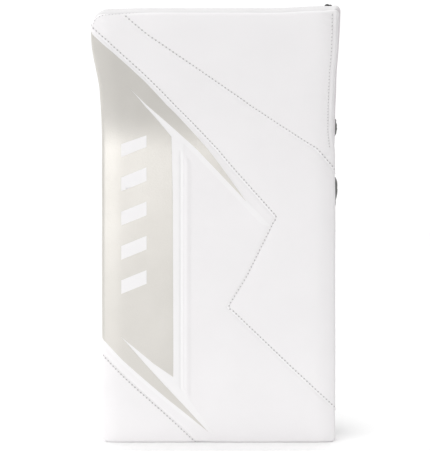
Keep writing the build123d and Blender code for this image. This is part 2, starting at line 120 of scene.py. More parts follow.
def rim(x, run):
    """Nearest place on the inner rim, outward direction there, and distance outside it."""
    low = run < BOARD_LENGTH / 2
    radius = np.where(
        x < 0, np.where(low, CORNERS[0], CORNERS[1]), np.where(low, CORNERS[2], CORNERS[3])
    )
    centre_x = np.clip(x, -X_INNER + radius, X_INNER - radius)
    centre_run = np.clip(run, RUN_LOW + radius, RUN_HIGH - radius)
    away_x, away_run = x - centre_x, run - centre_run
    length = np.maximum(np.hypot(away_x, away_run), 1e-9)
    normal_x, normal_run = away_x / length, away_run / length
    outside = length - radius
    base_x = np.where(outside > 0, centre_x + normal_x * radius, x)
    base_run = np.where(outside > 0, centre_run + normal_run * radius, run)
    return base_x, base_run, normal_x, normal_run, outside


def crown(x, run):
    """How far the face falls away towards its edges."""
    side = np.clip(1 - (X_INNER - np.abs(x)) / CROWN_WIDTH, 0, 1)
    end = np.clip(1 - np.minimum(run - RUN_LOW, RUN_HIGH - run) / CROWN_WIDTH, 0, 1)
    return CROWN_DROP * (side**2 + end**2)


def seam_reach(normal_run):
    """How far outside the inner rim the face panels are sewn to the wall, in the pattern."""
    seam = WALL_SEAM_SIDE + (WALL_SEAM_TOP - WALL_SEAM_SIDE) * smooth((normal_run - 0.2) / 0.6)
    return seam - CROWN_DROP - ROLL_RADIUS * math.cos(CROWN_SLOPE) + ROLL_RUN


def inside_seam(x, run):
    """Distance inside the seam between face and wall, in the pattern."""
    _, _, _, normal_run, outside = rim(x, run)
    return seam_reach(normal_run) - outside


def cover_point(x, run, height):
    """Points on the padded cover from its flat pattern, raised outward by a height."""
    base_x, base_run, normal_x, normal_run, outside = rim(x, run)
    past = np.maximum(outside, 0)
    angle = np.where(outside > 0, CROWN_SLOPE + np.minimum(past, ROLL_RUN) / ROLL_RADIUS, 0)
    out = ROLL_RADIUS * (np.sin(angle) - math.sin(CROWN_SLOPE)) * (outside > 0)
    drop = ROLL_RADIUS * (math.cos(CROWN_SLOPE) - np.cos(angle)) * (outside > 0)
    drop = drop + np.maximum(past - ROLL_RUN, 0)
    out = out + height * np.sin(angle)
    depth = -HALF_DEPTH + crown(base_x, base_run) + drop - height * np.cos(angle)
    return swollen(base_x + normal_x * out, base_run + normal_run * out, depth)


def side_point(base_x, base_run, normal_x, normal_run, depth, height):
    """Points on the wall round the board, raised outward by a height."""
    out = EDGE + height
    return swollen(base_x + normal_x * out, base_run + normal_run * out, depth)


def back_point(x, run, height):
    """Points above the back of the board."""
    return swollen(x, run, HALF_DEPTH + height)


def line_distance(x, run, line):
    """Distance of points from a polyline in the flat pattern."""
    best = np.full(np.shape(x), 1.0)
    for (ax, ar), (bx, br) in zip(line, line[1:]):
        dx, dr = bx - ax, br - ar
        share = np.clip(((x - ax) * dx + (run - ar) * dr) / (dx * dx + dr * dr), 0, 1)
        best = np.minimum(best, np.hypot(x - ax - share * dx, run - ar - share * dr))
    return best


def inside(x, run, outline):
    """Whether points of the flat pattern lie inside an outline."""
    result = np.zeros(np.shape(x), dtype=bool)
    for (ax, ar), (bx, br) in zip(outline, looped(outline)[1:]):
        crosses = (ar > run) != (br > run)
        slope = 1e-12 if br == ar else br - ar
        result ^= crosses & (x < (bx - ax) * (run - ar) / slope + ax)
    return result


def resample(line, step):
    """Evenly spaced points along a polyline."""
    points = np.array(line, dtype=float)
    lengths = np.hypot(*np.diff(points, axis=0).T)
    travel = np.concatenate([[0], np.cumsum(lengths)])
    places = np.linspace(0, travel[-1], max(2, round(travel[-1] / step) + 1))
    return np.stack([np.interp(places, travel, points[:, k]) for k in range(2)], axis=1)


def around(count):
    """Even shares of the way round a closed ring."""
    return np.arange(count) / count


def densify(line, step):
    """The same outline, keeping its corners, with points no further apart than a step."""
    points = []
    for (ax, ar), (bx, br) in zip(line, looped(line)[1:]):
        pieces = max(1, math.ceil(math.hypot(bx - ax, br - ar) / step))
        for k in range(pieces):
            points.append((ax + (bx - ax) * k / pieces, ar + (br - ar) * k / pieces))
    return points


def rounded_outline(low_u, high_u, low_v, high_v, radius, turns=6):
    """Rectangle with round corners, from sizes in millimetres."""
    points = []
    corners = ((high_u, low_v, -90), (high_u, high_v, 0), (low_u, high_v, 90), (low_u, low_v, 180))
    for u, v, start in corners:
        centre_u = u - math.copysign(radius, u - (low_u + high_u) / 2)
        centre_v = v - math.copysign(radius, v - (low_v + high_v) / 2)
        for k in range(turns + 1):
            angle = math.radians(start + 90 * k / turns)
            points.append((centre_u + radius * math.cos(angle), centre_v + radius * math.sin(angle)))
    return millimetres(points)


def looped(line):
    """A closed row: its first point again at the end."""
    return line + line[:1]


def tuples(points):
    return [tuple(point) for point in points]


def directions(points):
    """Unit directions along a row of flat points."""
    along = np.gradient(points, axis=0)
    return along / np.hypot(along[:, 0], along[:, 1])[:, None]


def millimetres(points):
    return [(x * MM, run * MM) for x, run in points]


def shifted(line, across, along):
    return [(x + across, run + along) for x, run in line]


# ---- Seams of the face, in the flat pattern (x, run up the face) ----
STITCH_UPPER = millimetres(
    [(-90, 395), (-57.4, 364.2), (-32.1, 345.1), (22.2, 306.6), (53.6, 282.4), (85.3, 259), (118, 221)]
)
STITCH_ZIGZAG = millimetres(
    [(-118, 386), (-89.1, 360), (-37.7, 302.5), (9.6, 245), (50.5, 199), (24.8, 147), (8.4, 120), (118, 15)]
)
STITCH_CORNER = millimetres([(-118, 93.5), (-81.2, 57.8), (-40.8, 20.4), (-8, -12)])
FOLD_X = -1.3 * MM
FOLD_RUN = -1.2 * MM
SEAM_UPPER = shifted(STITCH_UPPER, FOLD_X, FOLD_RUN)
SEAM_ZIGZAG = shifted(STITCH_ZIGZAG, FOLD_X, FOLD_RUN)
SEAM_CORNER = shifted(STITCH_CORNER, -FOLD_X, -FOLD_RUN)
SEAMS = (SEAM_UPPER, SEAM_ZIGZAG, SEAM_CORNER)
STITCHES = (STITCH_UPPER, STITCH_ZIGZAG, STITCH_CORNER)
EDGE_SEAM = millimetres([(97.4, 379), (97.8, 350), (97.6, 300), (98.0, 262)])
GROOVE_X = -33.2 * MM
BEAD_X = -27.6 * MM
EMBOSS_LOW = 47 * MM
EMBOSS_HIGH = 258 * MM


def emboss(x, run):
    """Groove and raised bead that run beside the silver panel."""
    slant = (x - GROOVE_X) * 1.05
    ends = smooth((run - EMBOSS_LOW + slant) / (4 * MM)) * smooth((EMBOSS_HIGH - run - slant) / (6 * MM))
    groove = -0.45 * MM * np.exp(-(((x - GROOVE_X) / (0.8 * MM)) ** 2))
    bead = 0.60 * MM * np.exp(-(((x - BEAD_X) / (2.2 * MM)) ** 2))
    return (groove + bead) * ends


def waves(x, run, size, seed):
    """Slow unevenness of padding and leather."""
    x, run = np.broadcast_arrays(x, run)
    flat = [noise.noise(Vector((a / size, b / size, seed))) for a, b in zip(x.ravel(), run.ravel())]
    return np.array(flat).reshape(np.shape(x))


def puckers(x, run):
    """Small gathers where the cover is pulled round its corners and into the edge seam."""
    corner = np.exp(-((HALF_WIDTH - np.abs(x)) ** 2 + (BOARD_LENGTH - run) ** 2) / (14 * MM) ** 2)
    tuck = np.exp(-(((x - 96 * MM) / (7 * MM)) ** 2) - (((run - 0.252) / (5 * MM)) ** 2))
    ripple = np.sin((x + 1.7 * run) / (1.9 * MM)) * corner * 0.28
    return (ripple + 0.35 * tuck * np.sin((run - 0.6 * x) / (1.5 * MM))) * MM


def face_height(x, run):
    """Padding of the face: drawn in at seams, stitching and edge, embossed, a little uneven."""
    near = np.min([line_distance(x, run, seam) for seam in SEAMS], axis=0)
    edge = line_distance(x, run, EDGE_SEAM)
    tuck = np.maximum(inside_seam(x, run), 0)
    height = 0.50 * MM * (1 - np.exp(-near / (7 * MM)))
    height -= 0.20 * MM * np.exp(-((near / (0.7 * MM)) ** 2))
    height -= 0.25 * MM * np.exp(-((edge / (0.9 * MM)) ** 2))
    height -= 0.80 * MM * np.exp(-((tuck / (1.0 * MM)) ** 2))
    height += emboss(x, run) + puckers(x, run)
    return height + 0.32 * MM * waves(x, run, 0.045, 3.0)


def face_lift(x, run, height):
    """Points above the finished face, from its flat pattern."""
    return cover_point(x, run, face_height(x, run) + height)


# ---- Mesh making ----
def make_object(name, points, faces, material):
    mesh = bpy.data.meshes.new(name)
    mesh.from_pydata(tuples(points), [], [tuple(int(k) for k in f) for f in faces])
    mesh.materials.append(material)
    mesh.polygons.foreach_set("use_smooth", [True] * len(mesh.polygons))
    mesh.update()
    piece = bpy.data.objects.new(name, mesh)
    bpy.context.scene.collection.objects.link(piece)
    return piece


def shell(piece, thickness, round_edge=0.0):
    """Gives a sheet its thickness, so that it is a closed solid, and rounds its edges."""
    solid = piece.modifiers.new("thickness", "SOLIDIFY")
    solid.thickness = thickness
    solid.offset = -1.0
    if round_edge:
        soften(piece, round_edge)
    else:
        crisp = piece.modifiers.new("crisp", "EDGE_SPLIT")
        crisp.split_angle = math.radians(55)
    return piece


def soften(piece, width):
    """Rounds the sharp edges of a piece."""
    bevel = piece.modifiers.new("rounded", "BEVEL")
    bevel.width = width
    bevel.segments = 3
    bevel.limit_method = "ANGLE"
    bevel.angle_limit = math.radians(50)
    return piece


def place(piece, slot, *nodes, body="board"):
    """Rides a piece on a named body; for any other body it only bakes the piece's transform where it stands.
    """
    if isinstance(body, str):
        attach(piece, body)
    else:
        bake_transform(piece)
    if nodes:
        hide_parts(*nodes)
    return piece


def triangulate(points, constraints):
    """Flat triangles through points, with edges along the constraints."""
    vectors = [Vector(p) for p in points]
    out = geometry.delaunay_2d_cdt(vectors, constraints, [], 0, 1e-6)
    return np.array(tuples(out[0])), np.array(out[2])


def loop_edges(first, count):
    return [(first + k, first + (k + 1) % count) for k in range(count)]


def sewn_sheet(name, outline, lift, material, step, thickness, scatter=None, edge=None, flip=False):
    """Sheet cut to an outline in its own flat pattern and lifted onto a surface."""
    border = densify(tuples(outline), step)
    if scatter is None:
        low, high = np.min(border, axis=0), np.max(border, axis=0)
        across, along = np.meshgrid(np.arange(low[0], high[0], step), np.arange(low[1], high[1], step))
        scatter = np.stack([across.ravel(), along.ravel()], axis=1)
    keep = inside(scatter[:, 0], scatter[:, 1], border)
    keep &= line_distance(scatter[:, 0], scatter[:, 1], looped(border)) > 0.45 * MM
    points = border + tuples(scatter[keep])
    constraints = loop_edges(0, len(border))
    if edge is not None:
        constraints += loop_edges(len(points), len(edge))
        points += tuples(edge)
    flat, triangles = triangulate(points, constraints)
    centres = flat[triangles].mean(axis=1)
    kept = inside(centres[:, 0], centres[:, 1], border)
    if edge is not None:
        kept &= inside(centres[:, 0], centres[:, 1], tuples(edge))
    used, index = np.unique(triangles[kept], return_inverse=True)
    faces = index.reshape(-1, 3)
    if flip:
        faces = faces[:, ::-1]
    piece = make_object(name, lift(flat[used, 0], flat[used, 1], 0.0), faces, material)
    return shell(piece, thickness)


def grid_faces(rows, columns, wrap):
    """Four-sided faces over rows of points, closed round if asked."""
    faces = []
    for i in range(rows - 1):
        for j in range(columns if wrap else columns - 1):
            k = (j + 1) % columns
            faces.append((i * columns + j, i * columns + k, (i + 1) * columns + k, (i + 1) * columns + j))
    return faces


def grid_sheet(name, points, material, thickness, wrap=False, flip=False, round_edge=0.0):
    """Sheet over rows of points, thickened to a closed solid."""
    faces = grid_faces(points.shape[0], points.shape[1], wrap)
    if flip:
        faces = [face[::-1] for face in faces]
    piece = make_object(name, points.reshape(-1, 3), faces, material)
    return shell(piece, thickness, round_edge)


def solid_loft(name, rings, material):
    """Closed solid through a row of closed rings."""
    rows, columns = rings.shape[:2]
    faces = grid_faces(rows, columns, True)
    faces.append(tuple(range(columns))[::-1])
    faces.append(tuple(range((rows - 1) * columns, rows * columns)))
    return make_object(name, rings.reshape(-1, 3), faces, material)


def tube_rings(path, radius, sides=8, closed=False):
    """Rings of a round tube along a path."""
    path = np.asarray(path, dtype=float)
    ahead = np.roll(path, -1, axis=0) - np.roll(path, 1, axis=0)
    if not closed:
        ahead[0], ahead[-1] = path[1] - path[0], path[-1] - path[-2]
    ahead /= np.linalg.norm(ahead, axis=1)[:, None]
    side = np.cross(ahead[0], [0.31, 0.87, 0.38])
    rings = []
    for point, direction in zip(path, ahead):
        side = side - direction * np.dot(side, direction)
        side = side / np.linalg.norm(side)
        other = np.cross(direction, side)
        turn = np.arange(sides) * 2 * math.pi / sides
        rings.append(point + radius * (np.cos(turn)[:, None] * side + np.sin(turn)[:, None] * other))
    return np.array(rings)


def cords(name, paths, radius, material, sides=8, closed=False):
    """Round cords along paths in millimetres, as one piece."""
    points, faces = [], []
    for path in paths:
        rings = tube_rings(np.asarray(path) * MM, radius * MM, sides, closed)
        first, count = len(points), len(rings)
        block = grid_faces(count, sides, True)
        if closed:
            last = (count - 1) * sides
            block += [(last + k, last + (k + 1) % sides, (k + 1) % sides, k) for k in range(sides)]
        else:
            block += [tuple(range(sides))[::-1], tuple(range((count - 1) * sides, count * sides))]
        faces += [tuple(first + k for k in face) for face in block]
        points += list(rings.reshape(-1, 3))
    return make_object(name, points, faces, material)


STITCH_SIDES = 6
STITCH_FORM = ((-1.0, 0.25), (-0.7, 0.85), (0.0, 1.0), (0.7, 0.85), (1.0, 0.25))
HOLE_SIZE = 1.6


def stitch_meshes(rows, lift, pitch, length, width):
    """Points and faces of sewn threads and of the small dark discs between them that paint the shade in the
    needle holes.
    """
    turn = np.arange(STITCH_SIDES) * 2 * math.pi / STITCH_SIDES
    last = (len(STITCH_FORM) - 1) * STITCH_SIDES
    form_faces = grid_faces(len(STITCH_FORM), STITCH_SIDES, True)
    form_faces += [tuple(range(STITCH_SIDES))[::-1], tuple(range(last, last + STITCH_SIDES))]
    tip, foot = STITCH_SIDES, STITCH_SIDES + 1
    cone_faces = []
    for here, following in loop_edges(0, STITCH_SIDES):
        cone_faces += [(here, following, tip), (following, here, foot)]
    threads, thread_faces, holes, hole_faces = [], [], [], []
    for row in rows:
        spots = resample(row, pitch)
        for (u, v), (du, dv) in zip(spots, directions(spots)):
            first = len(threads) * len(STITCH_FORM) * STITCH_SIDES
            block = []
            for share, size in STITCH_FORM:
                wide = size * width * np.cos(turn)
                high = size * width * np.sin(turn) + 0.25 * width * (1 - share * share)
                offset = share * length / 2
                across, along = u + du * offset - dv * wide, v + dv * offset + du * wide
                block.append(np.stack([across, along, high], axis=1))
            threads.append(np.concatenate(block))
            thread_faces += [tuple(first + k for k in face) for face in form_faces]
            # each needle hole is a dark disc standing just proud of the surface: painted shade of the hole
            hole_u, hole_v = u + du * pitch / 2, v + dv * pitch / 2
            ring = HOLE_SIZE * width * np.stack([np.cos(turn), np.sin(turn)], axis=1)
            low = len(holes) * (STITCH_SIDES + 2)
            block = [(hole_u + a, hole_v + b, 0.03 * MM) for a, b in ring]
            holes.append(np.array(block + [(hole_u, hole_v, 0.10 * MM), (hole_u, hole_v, -0.5 * MM)]))
            hole_faces += [tuple(low + k for k in face) for face in cone_faces]
    threads, holes = np.concatenate(threads), np.concatenate(holes)
    threads = lift(threads[:, 0], threads[:, 1], threads[:, 2])
    holes = lift(holes[:, 0], holes[:, 1], holes[:, 2])
    return threads, thread_faces, holes, hole_faces


def sew(name, rows, lift, slot, stitch, body="board", pitch=4.0, length=2.5, width=0.34):
    """Rows of stitches on a surface, sizes in millimetres, as a piece of thread and one of painted shade in
    the needle holes.
    """
    points, faces, hole_points, hole_faces = stitch_meshes(rows, lift, pitch * MM, length * MM, width * MM)
    place(make_object(name + "_thread", points, faces, stitch[0]), slot, body=body)
    place(make_object(name + "_needle_hole_shade", hole_points, hole_faces, stitch[1]), slot, body=body)


# ---- Materials ----
def new_material(name, colour, roughness, metallic=0.0):
    material = bpy.data.materials.new(name)
    material.use_nodes = True
    shader = material.node_tree.nodes["Principled BSDF"]
    shader.inputs["Base Color"].default_value = (*colour, 1)
    shader.inputs["Roughness"].default_value = roughness
    shader.inputs["Metallic"].default_value = metallic
    return material, material.node_tree, shader


def node(tree, kind, **values):
    made = tree.nodes.new(kind)
    for key, value in values.items():
        if key in made.inputs:
            made.inputs[key].default_value = value
        else:
            setattr(made, key, value)
    return made


def position(tree, stretch=None):
    """Texture position in the object's own space, stretched along its axes if asked."""
    where = node(tree, "ShaderNodeTexCoord").outputs["Object"]
    if stretch is None:
        return where
    mapping = node(tree, "ShaderNodeMapping", Scale=stretch)
    tree.links.new(where, mapping.inputs["Vector"])
    return mapping.outputs["Vector"]


def combine(tree, operation, first, second):
    """Math node on two sockets or numbers."""
    made = node(tree, "ShaderNodeMath", operation=operation)
    for socket, value in zip(made.inputs, (first, second)):
        if isinstance(value, (int, float)):
            socket.default_value = value
        else:
            tree.links.new(value, socket)
    return made.outputs[0]


def remap(tree, value, low, high, to_low=0.0, to_high=1.0):
    """Map-range node."""
    made = node(tree, "ShaderNodeMapRange")
    made.inputs["From Min"].default_value = low
    made.inputs["From Max"].default_value = high
    made.inputs["To Min"].default_value = to_low
    made.inputs["To Max"].default_value = to_high
    tree.links.new(value, made.inputs["Value"])
    return made.outputs["Result"]


def finish_surface(tree, shader, height, depth, strength, mask, colour, shade, rough, rough_range):
    """Bump from a height, colour between two shades by a mask, and roughness that varies."""
    bump = node(tree, "ShaderNodeBump", Strength=strength, Distance=depth)
    tree.links.new(height, bump.inputs["Height"])
    tree.links.new(bump.outputs["Normal"], shader.inputs["Normal"])
    mix = node(tree, "ShaderNodeMix", data_type="RGBA")
    mix.inputs[6].default_value = (*colour, 1)
    mix.inputs[7].default_value = (*shade, 1)
    tree.links.new(mask, mix.inputs["Factor"])
    tree.links.new(mix.outputs[2], shader.inputs["Base Color"])
    tree.links.new(remap(tree, rough, 0.3, 0.7, *rough_range), shader.inputs["Roughness"])


def texture(tree, kind, where, **values):
    made = node(tree, kind, **values)
    tree.links.new(where, made.inputs["Vector"])
    return made


def leather(name, colour, shade, roughness, grain=0.35, scale=900.0, metallic=0.0):
    """Coated leather: fine pebble grain, slow colour and gloss variation."""
    material, tree, shader = new_material(name, colour, roughness, metallic)
    where = position(tree)
    cells = texture(tree, "ShaderNodeTexVoronoi", where, Scale=scale, feature="SMOOTH_F1")
    fine = texture(tree, "ShaderNodeTexNoise", where, Scale=scale * 2.5, Detail=3.0)
    slow = texture(tree, "ShaderNodeTexNoise", where, Scale=22.0, Detail=3.0)
    height = combine(tree, "ADD", cells.outputs["Distance"], fine.outputs["Fac"])
    mask = remap(tree, slow.outputs["Fac"], 0.35, 0.75)
    rough_range = (roughness - 0.05, roughness + 0.08)
    finish_surface(
        tree, shader, height, 0.0002, grain, mask, colour, shade, fine.outputs["Fac"], rough_range
    )
    return material


def woven(name, colour, shade, pitch, roughness, stretch=(1, 1, 1), sheen=0.2):
    """Cloth of crossed yarns, with painted shade between them."""
    material, tree, shader = new_material(name, colour, roughness)
    where = position(tree, stretch)
    warp = texture(tree, "ShaderNodeTexWave", where, Scale=0.5 / pitch, bands_direction="X", Distortion=0.3)
    weft = texture(tree, "ShaderNodeTexWave", where, Scale=0.5 / pitch, bands_direction="Z", Distortion=0.3)
    slow = texture(tree, "ShaderNodeTexNoise", where, Scale=40.0, Detail=4.0)
    height = combine(tree, "MULTIPLY", warp.outputs["Fac"], weft.outputs["Fac"])
    # the darker colour between the yarns is painted shade of the hollows there, with a random strength
    gap_shade = remap(tree, height, 0.45, 0.02)
    mask = combine(tree, "MULTIPLY", gap_shade, remap(tree, slow.outputs["Fac"], 0.2, 0.8, 0.7, 1.0))
    finish_surface(
        tree, shader, height, 0.0004, 0.6, mask, colour, shade, slow.outputs["Fac"],
        (roughness - 0.05, roughness + 0.05),
    )
    shader.inputs["Sheen Weight"].default_value = sheen
    return material


def spacer_mesh(name, colour, hole):
    """Knitted mesh with rows of small open cells, painted near black inside as their shade."""
    material, tree, shader = new_material(name, colour, 0.8)
    where = position(tree)
    cells = texture(tree, "ShaderNodeTexVoronoi", where, Scale=420.0, Randomness=0.25)
    fine = texture(tree, "ShaderNodeTexNoise", where, Scale=1500.0, Detail=2.0)
    # the hole colour fills the open cells: painted shade inside them
    mask = remap(tree, cells.outputs["Distance"], 0.42, 0.25)
    height = combine(tree, "SUBTRACT", fine.outputs["Fac"], combine(tree, "MULTIPLY", mask, 2.0))
    finish_surface(
        tree, shader, height, 0.0004, 0.5, mask, colour, hole, fine.outputs["Fac"], (0.72, 0.88)
    )
    shader.inputs["Sheen Weight"].default_value = 0.3
    return material


def suede(name, colour, shade):
    """Napped palm leather: soft mottling, fine nap and rubbed lighter places."""
    material, tree, shader = new_material(name, colour, 0.85)
    where = position(tree)
    nap = texture(tree, "ShaderNodeTexNoise", where, Scale=2600.0, Detail=4.0)
    mottle = texture(tree, "ShaderNodeTexNoise", where, Scale=90.0, Detail=6.0)
    rub = texture(tree, "ShaderNodeTexNoise", where, Scale=18.0, Detail=2.0)
    blotch = combine(tree, "ADD", mottle.outputs["Fac"], rub.outputs["Fac"])
    mask = remap(tree, blotch, 0.8, 1.25)
    height = combine(tree, "ADD", nap.outputs["Fac"], mottle.outputs["Fac"])
    finish_surface(
        tree, shader, height, 0.0002, 0.45, mask, colour, shade, nap.outputs["Fac"], (0.78, 0.95)
    )
    shader.inputs["Sheen Weight"].default_value = 0.5
    return material


def grained(name, colour, shade, roughness, scale, depth, strength, metallic=0.0, sheen=0.0):
    """Material with one fine grain: foam, moulded sheet, pile, thread or plating."""
    material, tree, shader = new_material(name, colour, roughness, metallic)
    where = position(tree)
    fine = texture(tree, "ShaderNodeTexNoise", where, Scale=scale, Detail=4.0)
    slow = texture(tree, "ShaderNodeTexNoise", where, Scale=30.0, Detail=3.0)
    mask = remap(tree, slow.outputs["Fac"], 0.35, 0.7)
    finish_surface(
        tree, shader, fine.outputs["Fac"], depth, strength, mask, colour, shade, fine.outputs["Fac"],
        (roughness - 0.06, roughness + 0.06),
    )
    shader.inputs["Sheen Weight"].default_value = sheen
    return material


WHITE = leather("white_leather", (0.85, 0.835, 0.843), (0.83, 0.815, 0.823), 0.50, grain=0.10)
# The side walls and the top wall take darker copies of the face's white leather: painted shade, so that the
# walls read as shaded.
WALL_WHITE_SHADED = leather("wall_white_painted_shade", (0.70, 0.665, 0.685), (0.67, 0.635, 0.655), 0.52, grain=0.2)
TOP_WHITE_SHADED = leather("top_wall_white_painted_shade", (0.66, 0.65, 0.655), (0.63, 0.62, 0.625), 0.52, grain=0.2)
# The cuff and the outer guard use a darker copy of the white leather: painted shade that keeps them from
# burning out under the bright light from behind.
CUFF_WHITE_SHADED = leather("cuff_white_painted_shade", (0.64, 0.635, 0.64), (0.60, 0.595, 0.60), 0.50, grain=0.35, scale=650.0)
WHITE_FILM = leather("white_film", (0.87, 0.86, 0.865), (0.85, 0.84, 0.845), 0.42, grain=0.06)
SILVER = leather(
    "silver_leather", (0.665, 0.645, 0.61), (0.625, 0.605, 0.57), 0.42, grain=0.35, scale=700.0, metallic=0.8
)
DARK = leather("dark_leather", (0.075, 0.08, 0.075), (0.10, 0.105, 0.10), 0.48, grain=0.5, scale=650.0)
GREY_LEATHER = leather(
    "grey_leather", (0.115, 0.12, 0.12), (0.14, 0.145, 0.145), 0.52, grain=0.5, scale=600.0
)
GRIP = leather("grip_leather", (0.042, 0.044, 0.044), (0.06, 0.062, 0.062), 0.62, grain=0.9, scale=380.0)
PALM = suede("palm_suede", (0.27, 0.268, 0.262), (0.35, 0.348, 0.34))
BACKING = woven("back_fabric", (0.085, 0.088, 0.09), (0.02, 0.021, 0.022), 1.3 * MM, 0.8)
TAPE = woven("grey_binding", (0.16, 0.165, 0.165), (0.07, 0.072, 0.072), 0.7 * MM, 0.75)
WEBBING = woven("strap_webbing", (0.66, 0.655, 0.645), (0.36, 0.355, 0.35), 1.5 * MM, 0.6, stretch=(1, 1, 2))
MESH_KNIT = spacer_mesh("dark_mesh", (0.035, 0.037, 0.038), (0.006, 0.006, 0.006))
FACE_FOAM = grained("soft_foam", (0.36, 0.36, 0.34), (0.42, 0.42, 0.40), 0.9, 700.0, 0.0006, 0.6)
CORE_FOAM = grained("board_foam", (0.07, 0.07, 0.08), (0.09, 0.09, 0.10), 0.9, 600.0, 0.0006, 0.6)
PLASTIC = grained("plastic_sheet", (0.72, 0.72, 0.70), (0.68, 0.68, 0.66), 0.42, 1600.0, 0.0001, 0.2)
SHELL_PLASTIC = grained("shell_plastic", (0.76, 0.76, 0.75), (0.72, 0.72, 0.71), 0.28, 1800.0, 0.0001, 0.12)
NICKEL = grained("nickel", (0.62, 0.61, 0.58), (0.52, 0.51, 0.48), 0.24, 900.0, 0.00005, 0.2, metallic=1.0)
PILE = grained("black_pile", (0.012, 0.012, 0.012), (0.02, 0.02, 0.02), 0.95, 2400.0, 0.001, 1.0, sheen=0.4)
LACE = grained("black_lace", (0.015, 0.015, 0.015), (0.03, 0.03, 0.03), 0.5, 1700.0, 0.0004, 0.7)
THREAD = grained("white_thread", (0.82, 0.81, 0.81), (0.78, 0.77, 0.77), 0.6, 3000.0, 0.0002, 0.5)
DARK_THREAD = grained("grey_thread", (0.20, 0.20, 0.20), (0.15, 0.15, 0.15), 0.6, 3000.0, 0.0002, 0.5)
# Needle-hole discs: painted shade of the holes, grey on the white leather and black on the dark.
NEEDLE_SHADE = grained("painted_needle_shade", (0.56, 0.545, 0.555), (0.50, 0.485, 0.49), 0.9, 1500.0, 0.0002, 0.3)
DARK_NEEDLE_SHADE = grained("dark_painted_needle_shade", (0.01, 0.01, 0.01), (0.02, 0.02, 0.02), 0.9, 1500.0, 0.0002, 0.3)
WHITE_STITCH = (THREAD, NEEDLE_SHADE)
DARK_STITCH = (DARK_THREAD, DARK_NEEDLE_SHADE)
WALL_SHADED_LEATHERS = {"wall_thumb_side": WALL_WHITE_SHADED, "wall_outer_side": WALL_WHITE_SHADED, "wall_top": TOP_WHITE_SHADED}


def repaint(name, material, round_edge):
    """Better material and rounded edges for a CAD node whose shape is right."""
    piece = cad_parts[name]
    for material_slot in piece.material_slots:
        material_slot.material = material
    soften(piece, round_edge)


# ---- Face of the board ----
PANEL_OUTLINES = {
    "face_panel_upper": SEAM_UPPER + millimetres([(200, 220), (200, 500), (-200, 500), (-200, 430)]),
    "face_panel_main": SEAM_ZIGZAG
    + millimetres([(200, 14), (200, -90), (-7, -90)])
    + SEAM_CORNER[::-1]
    + millimetres([(-200, 93.5), (-200, 385)]),
    "face_panel_corner": SEAM_CORNER + millimetres([(-7, -90), (-200, -90), (-200, 93.5)]),
}


def make_ring():
    """Closed ring along the inner rim: place, outward direction, and which wall it belongs to."""
    corners = (
        (-1, RUN_LOW, CORNERS[0], 180, "wall_outer_side", "wall_bottom"),
        (1, RUN_LOW, CORNERS[2], 270, "wall_bottom", "wall_thumb_side"),
        (1, RUN_HIGH, CORNERS[3], 0, "wall_thumb_side", "wall_top"),
        (-1, RUN_HIGH, CORNERS[1], 90, "wall_top", "wall_outer_side"),
    )
    rows, names = [], []
    for side, end, radius, start, before, after in corners:
        centre_x = side * (X_INNER - radius)
        centre_run = end + radius if end == RUN_LOW else end - radius
        for k in range(11):
            angle = math.radians(start + 9 * k)
            normal = (math.cos(angle), math.sin(angle))
            rows.append((centre_x + radius * normal[0], centre_run + radius * normal[1], *normal))
            names.append(before if k < 5 else after)
    ring, labels = [], []
    for k, row in enumerate(rows):
        following = rows[(k + 1) % len(rows)]
        gap = math.hypot(following[0] - row[0], following[1] - row[1])
        pieces = max(1, round(gap / RING_STEP)) if k % 11 == 10 else 1
        for share in np.arange(pieces) / pieces:
            ring.append(np.array(row) + share * (np.array(following) - np.array(row)))
            labels.append(names[k])
    return np.array(ring), labels


RING, RING_WALLS = make_ring()


def ring_at(outside):
    """The ring moved outward in the pattern."""
    return RING[:, :2] + RING[:, 2:] * np.broadcast_to(outside, len(RING))[:, None]


def pattern_points():
    """Scattered pattern points: close at seams, embossing and rolled edge, wider elsewhere."""
    reach = seam_reach(RING[:, 3])
    rows = [ring_at(reach - inward * MM) for inward in (0.5, 1.1, 1.9, 2.8)]
    for outside in (-11.0, -8.0, -5.5, -3.5, -2.0, -0.9, 0.0, 0.9, 1.8, 2.7, 3.6, 4.6, 5.8):
        rows.append(ring_at(outside * MM)[reach > (outside + 3.4) * MM])
    for line in (*SEAMS, EDGE_SEAM):
        dense = resample(line, 1.6 * MM)
        along = directions(dense)
        across = np.stack([-along[:, 1], along[:, 0]], axis=1)
        for offset in (0.45, 1.0, 1.8, 3.0):
            rows.append(dense + across * offset * MM)
            rows.append(dense - across * offset * MM)
    for offset in (-2.0, -1.0, -0.4, 0.3, 1.2, 2.4, 3.6, 4.6, 5.6, 6.6, 7.8, 9.2, 11.0):
        run = np.arange(EMBOSS_LOW - 12 * MM, EMBOSS_HIGH + 12 * MM, 2.2 * MM)
        rows.append(np.stack([np.full_like(run, GROOVE_X + offset * MM), run], axis=1))
    near = np.concatenate(rows)
    step = 3.2 * MM
    grid = []
    for row, run in enumerate(np.arange(0, BOARD_LENGTH, step * 0.87)):
        for x in np.arange(-HALF_WIDTH, HALF_WIDTH, step) + (row % 2) * step / 2:
            grid.append((x, run))
    grid = np.array(grid)
    margin = 12.0 * MM
    keep = np.abs(grid[:, 0]) < X_INNER - margin
    keep &= (grid[:, 1] > RUN_LOW + margin) & (grid[:, 1] < RUN_HIGH - margin)
    for line in SEAMS:
        keep &= line_distance(grid[:, 0], grid[:, 1], line) > 4 * MM
    beside = (grid[:, 0] > GROOVE_X - 3.5 * MM) & (grid[:, 0] < GROOVE_X + 12.5 * MM)
    keep &= ~(beside & (grid[:, 1] > EMBOSS_LOW - 13 * MM) & (grid[:, 1] < EMBOSS_HIGH + 13 * MM))
    points = np.concatenate([near, grid[keep]])
    return points[inside_seam(*points.T) > 0.3 * MM]


PATTERN = pattern_points()
PANEL_EDGE = ring_at(seam_reach(RING[:, 3]))


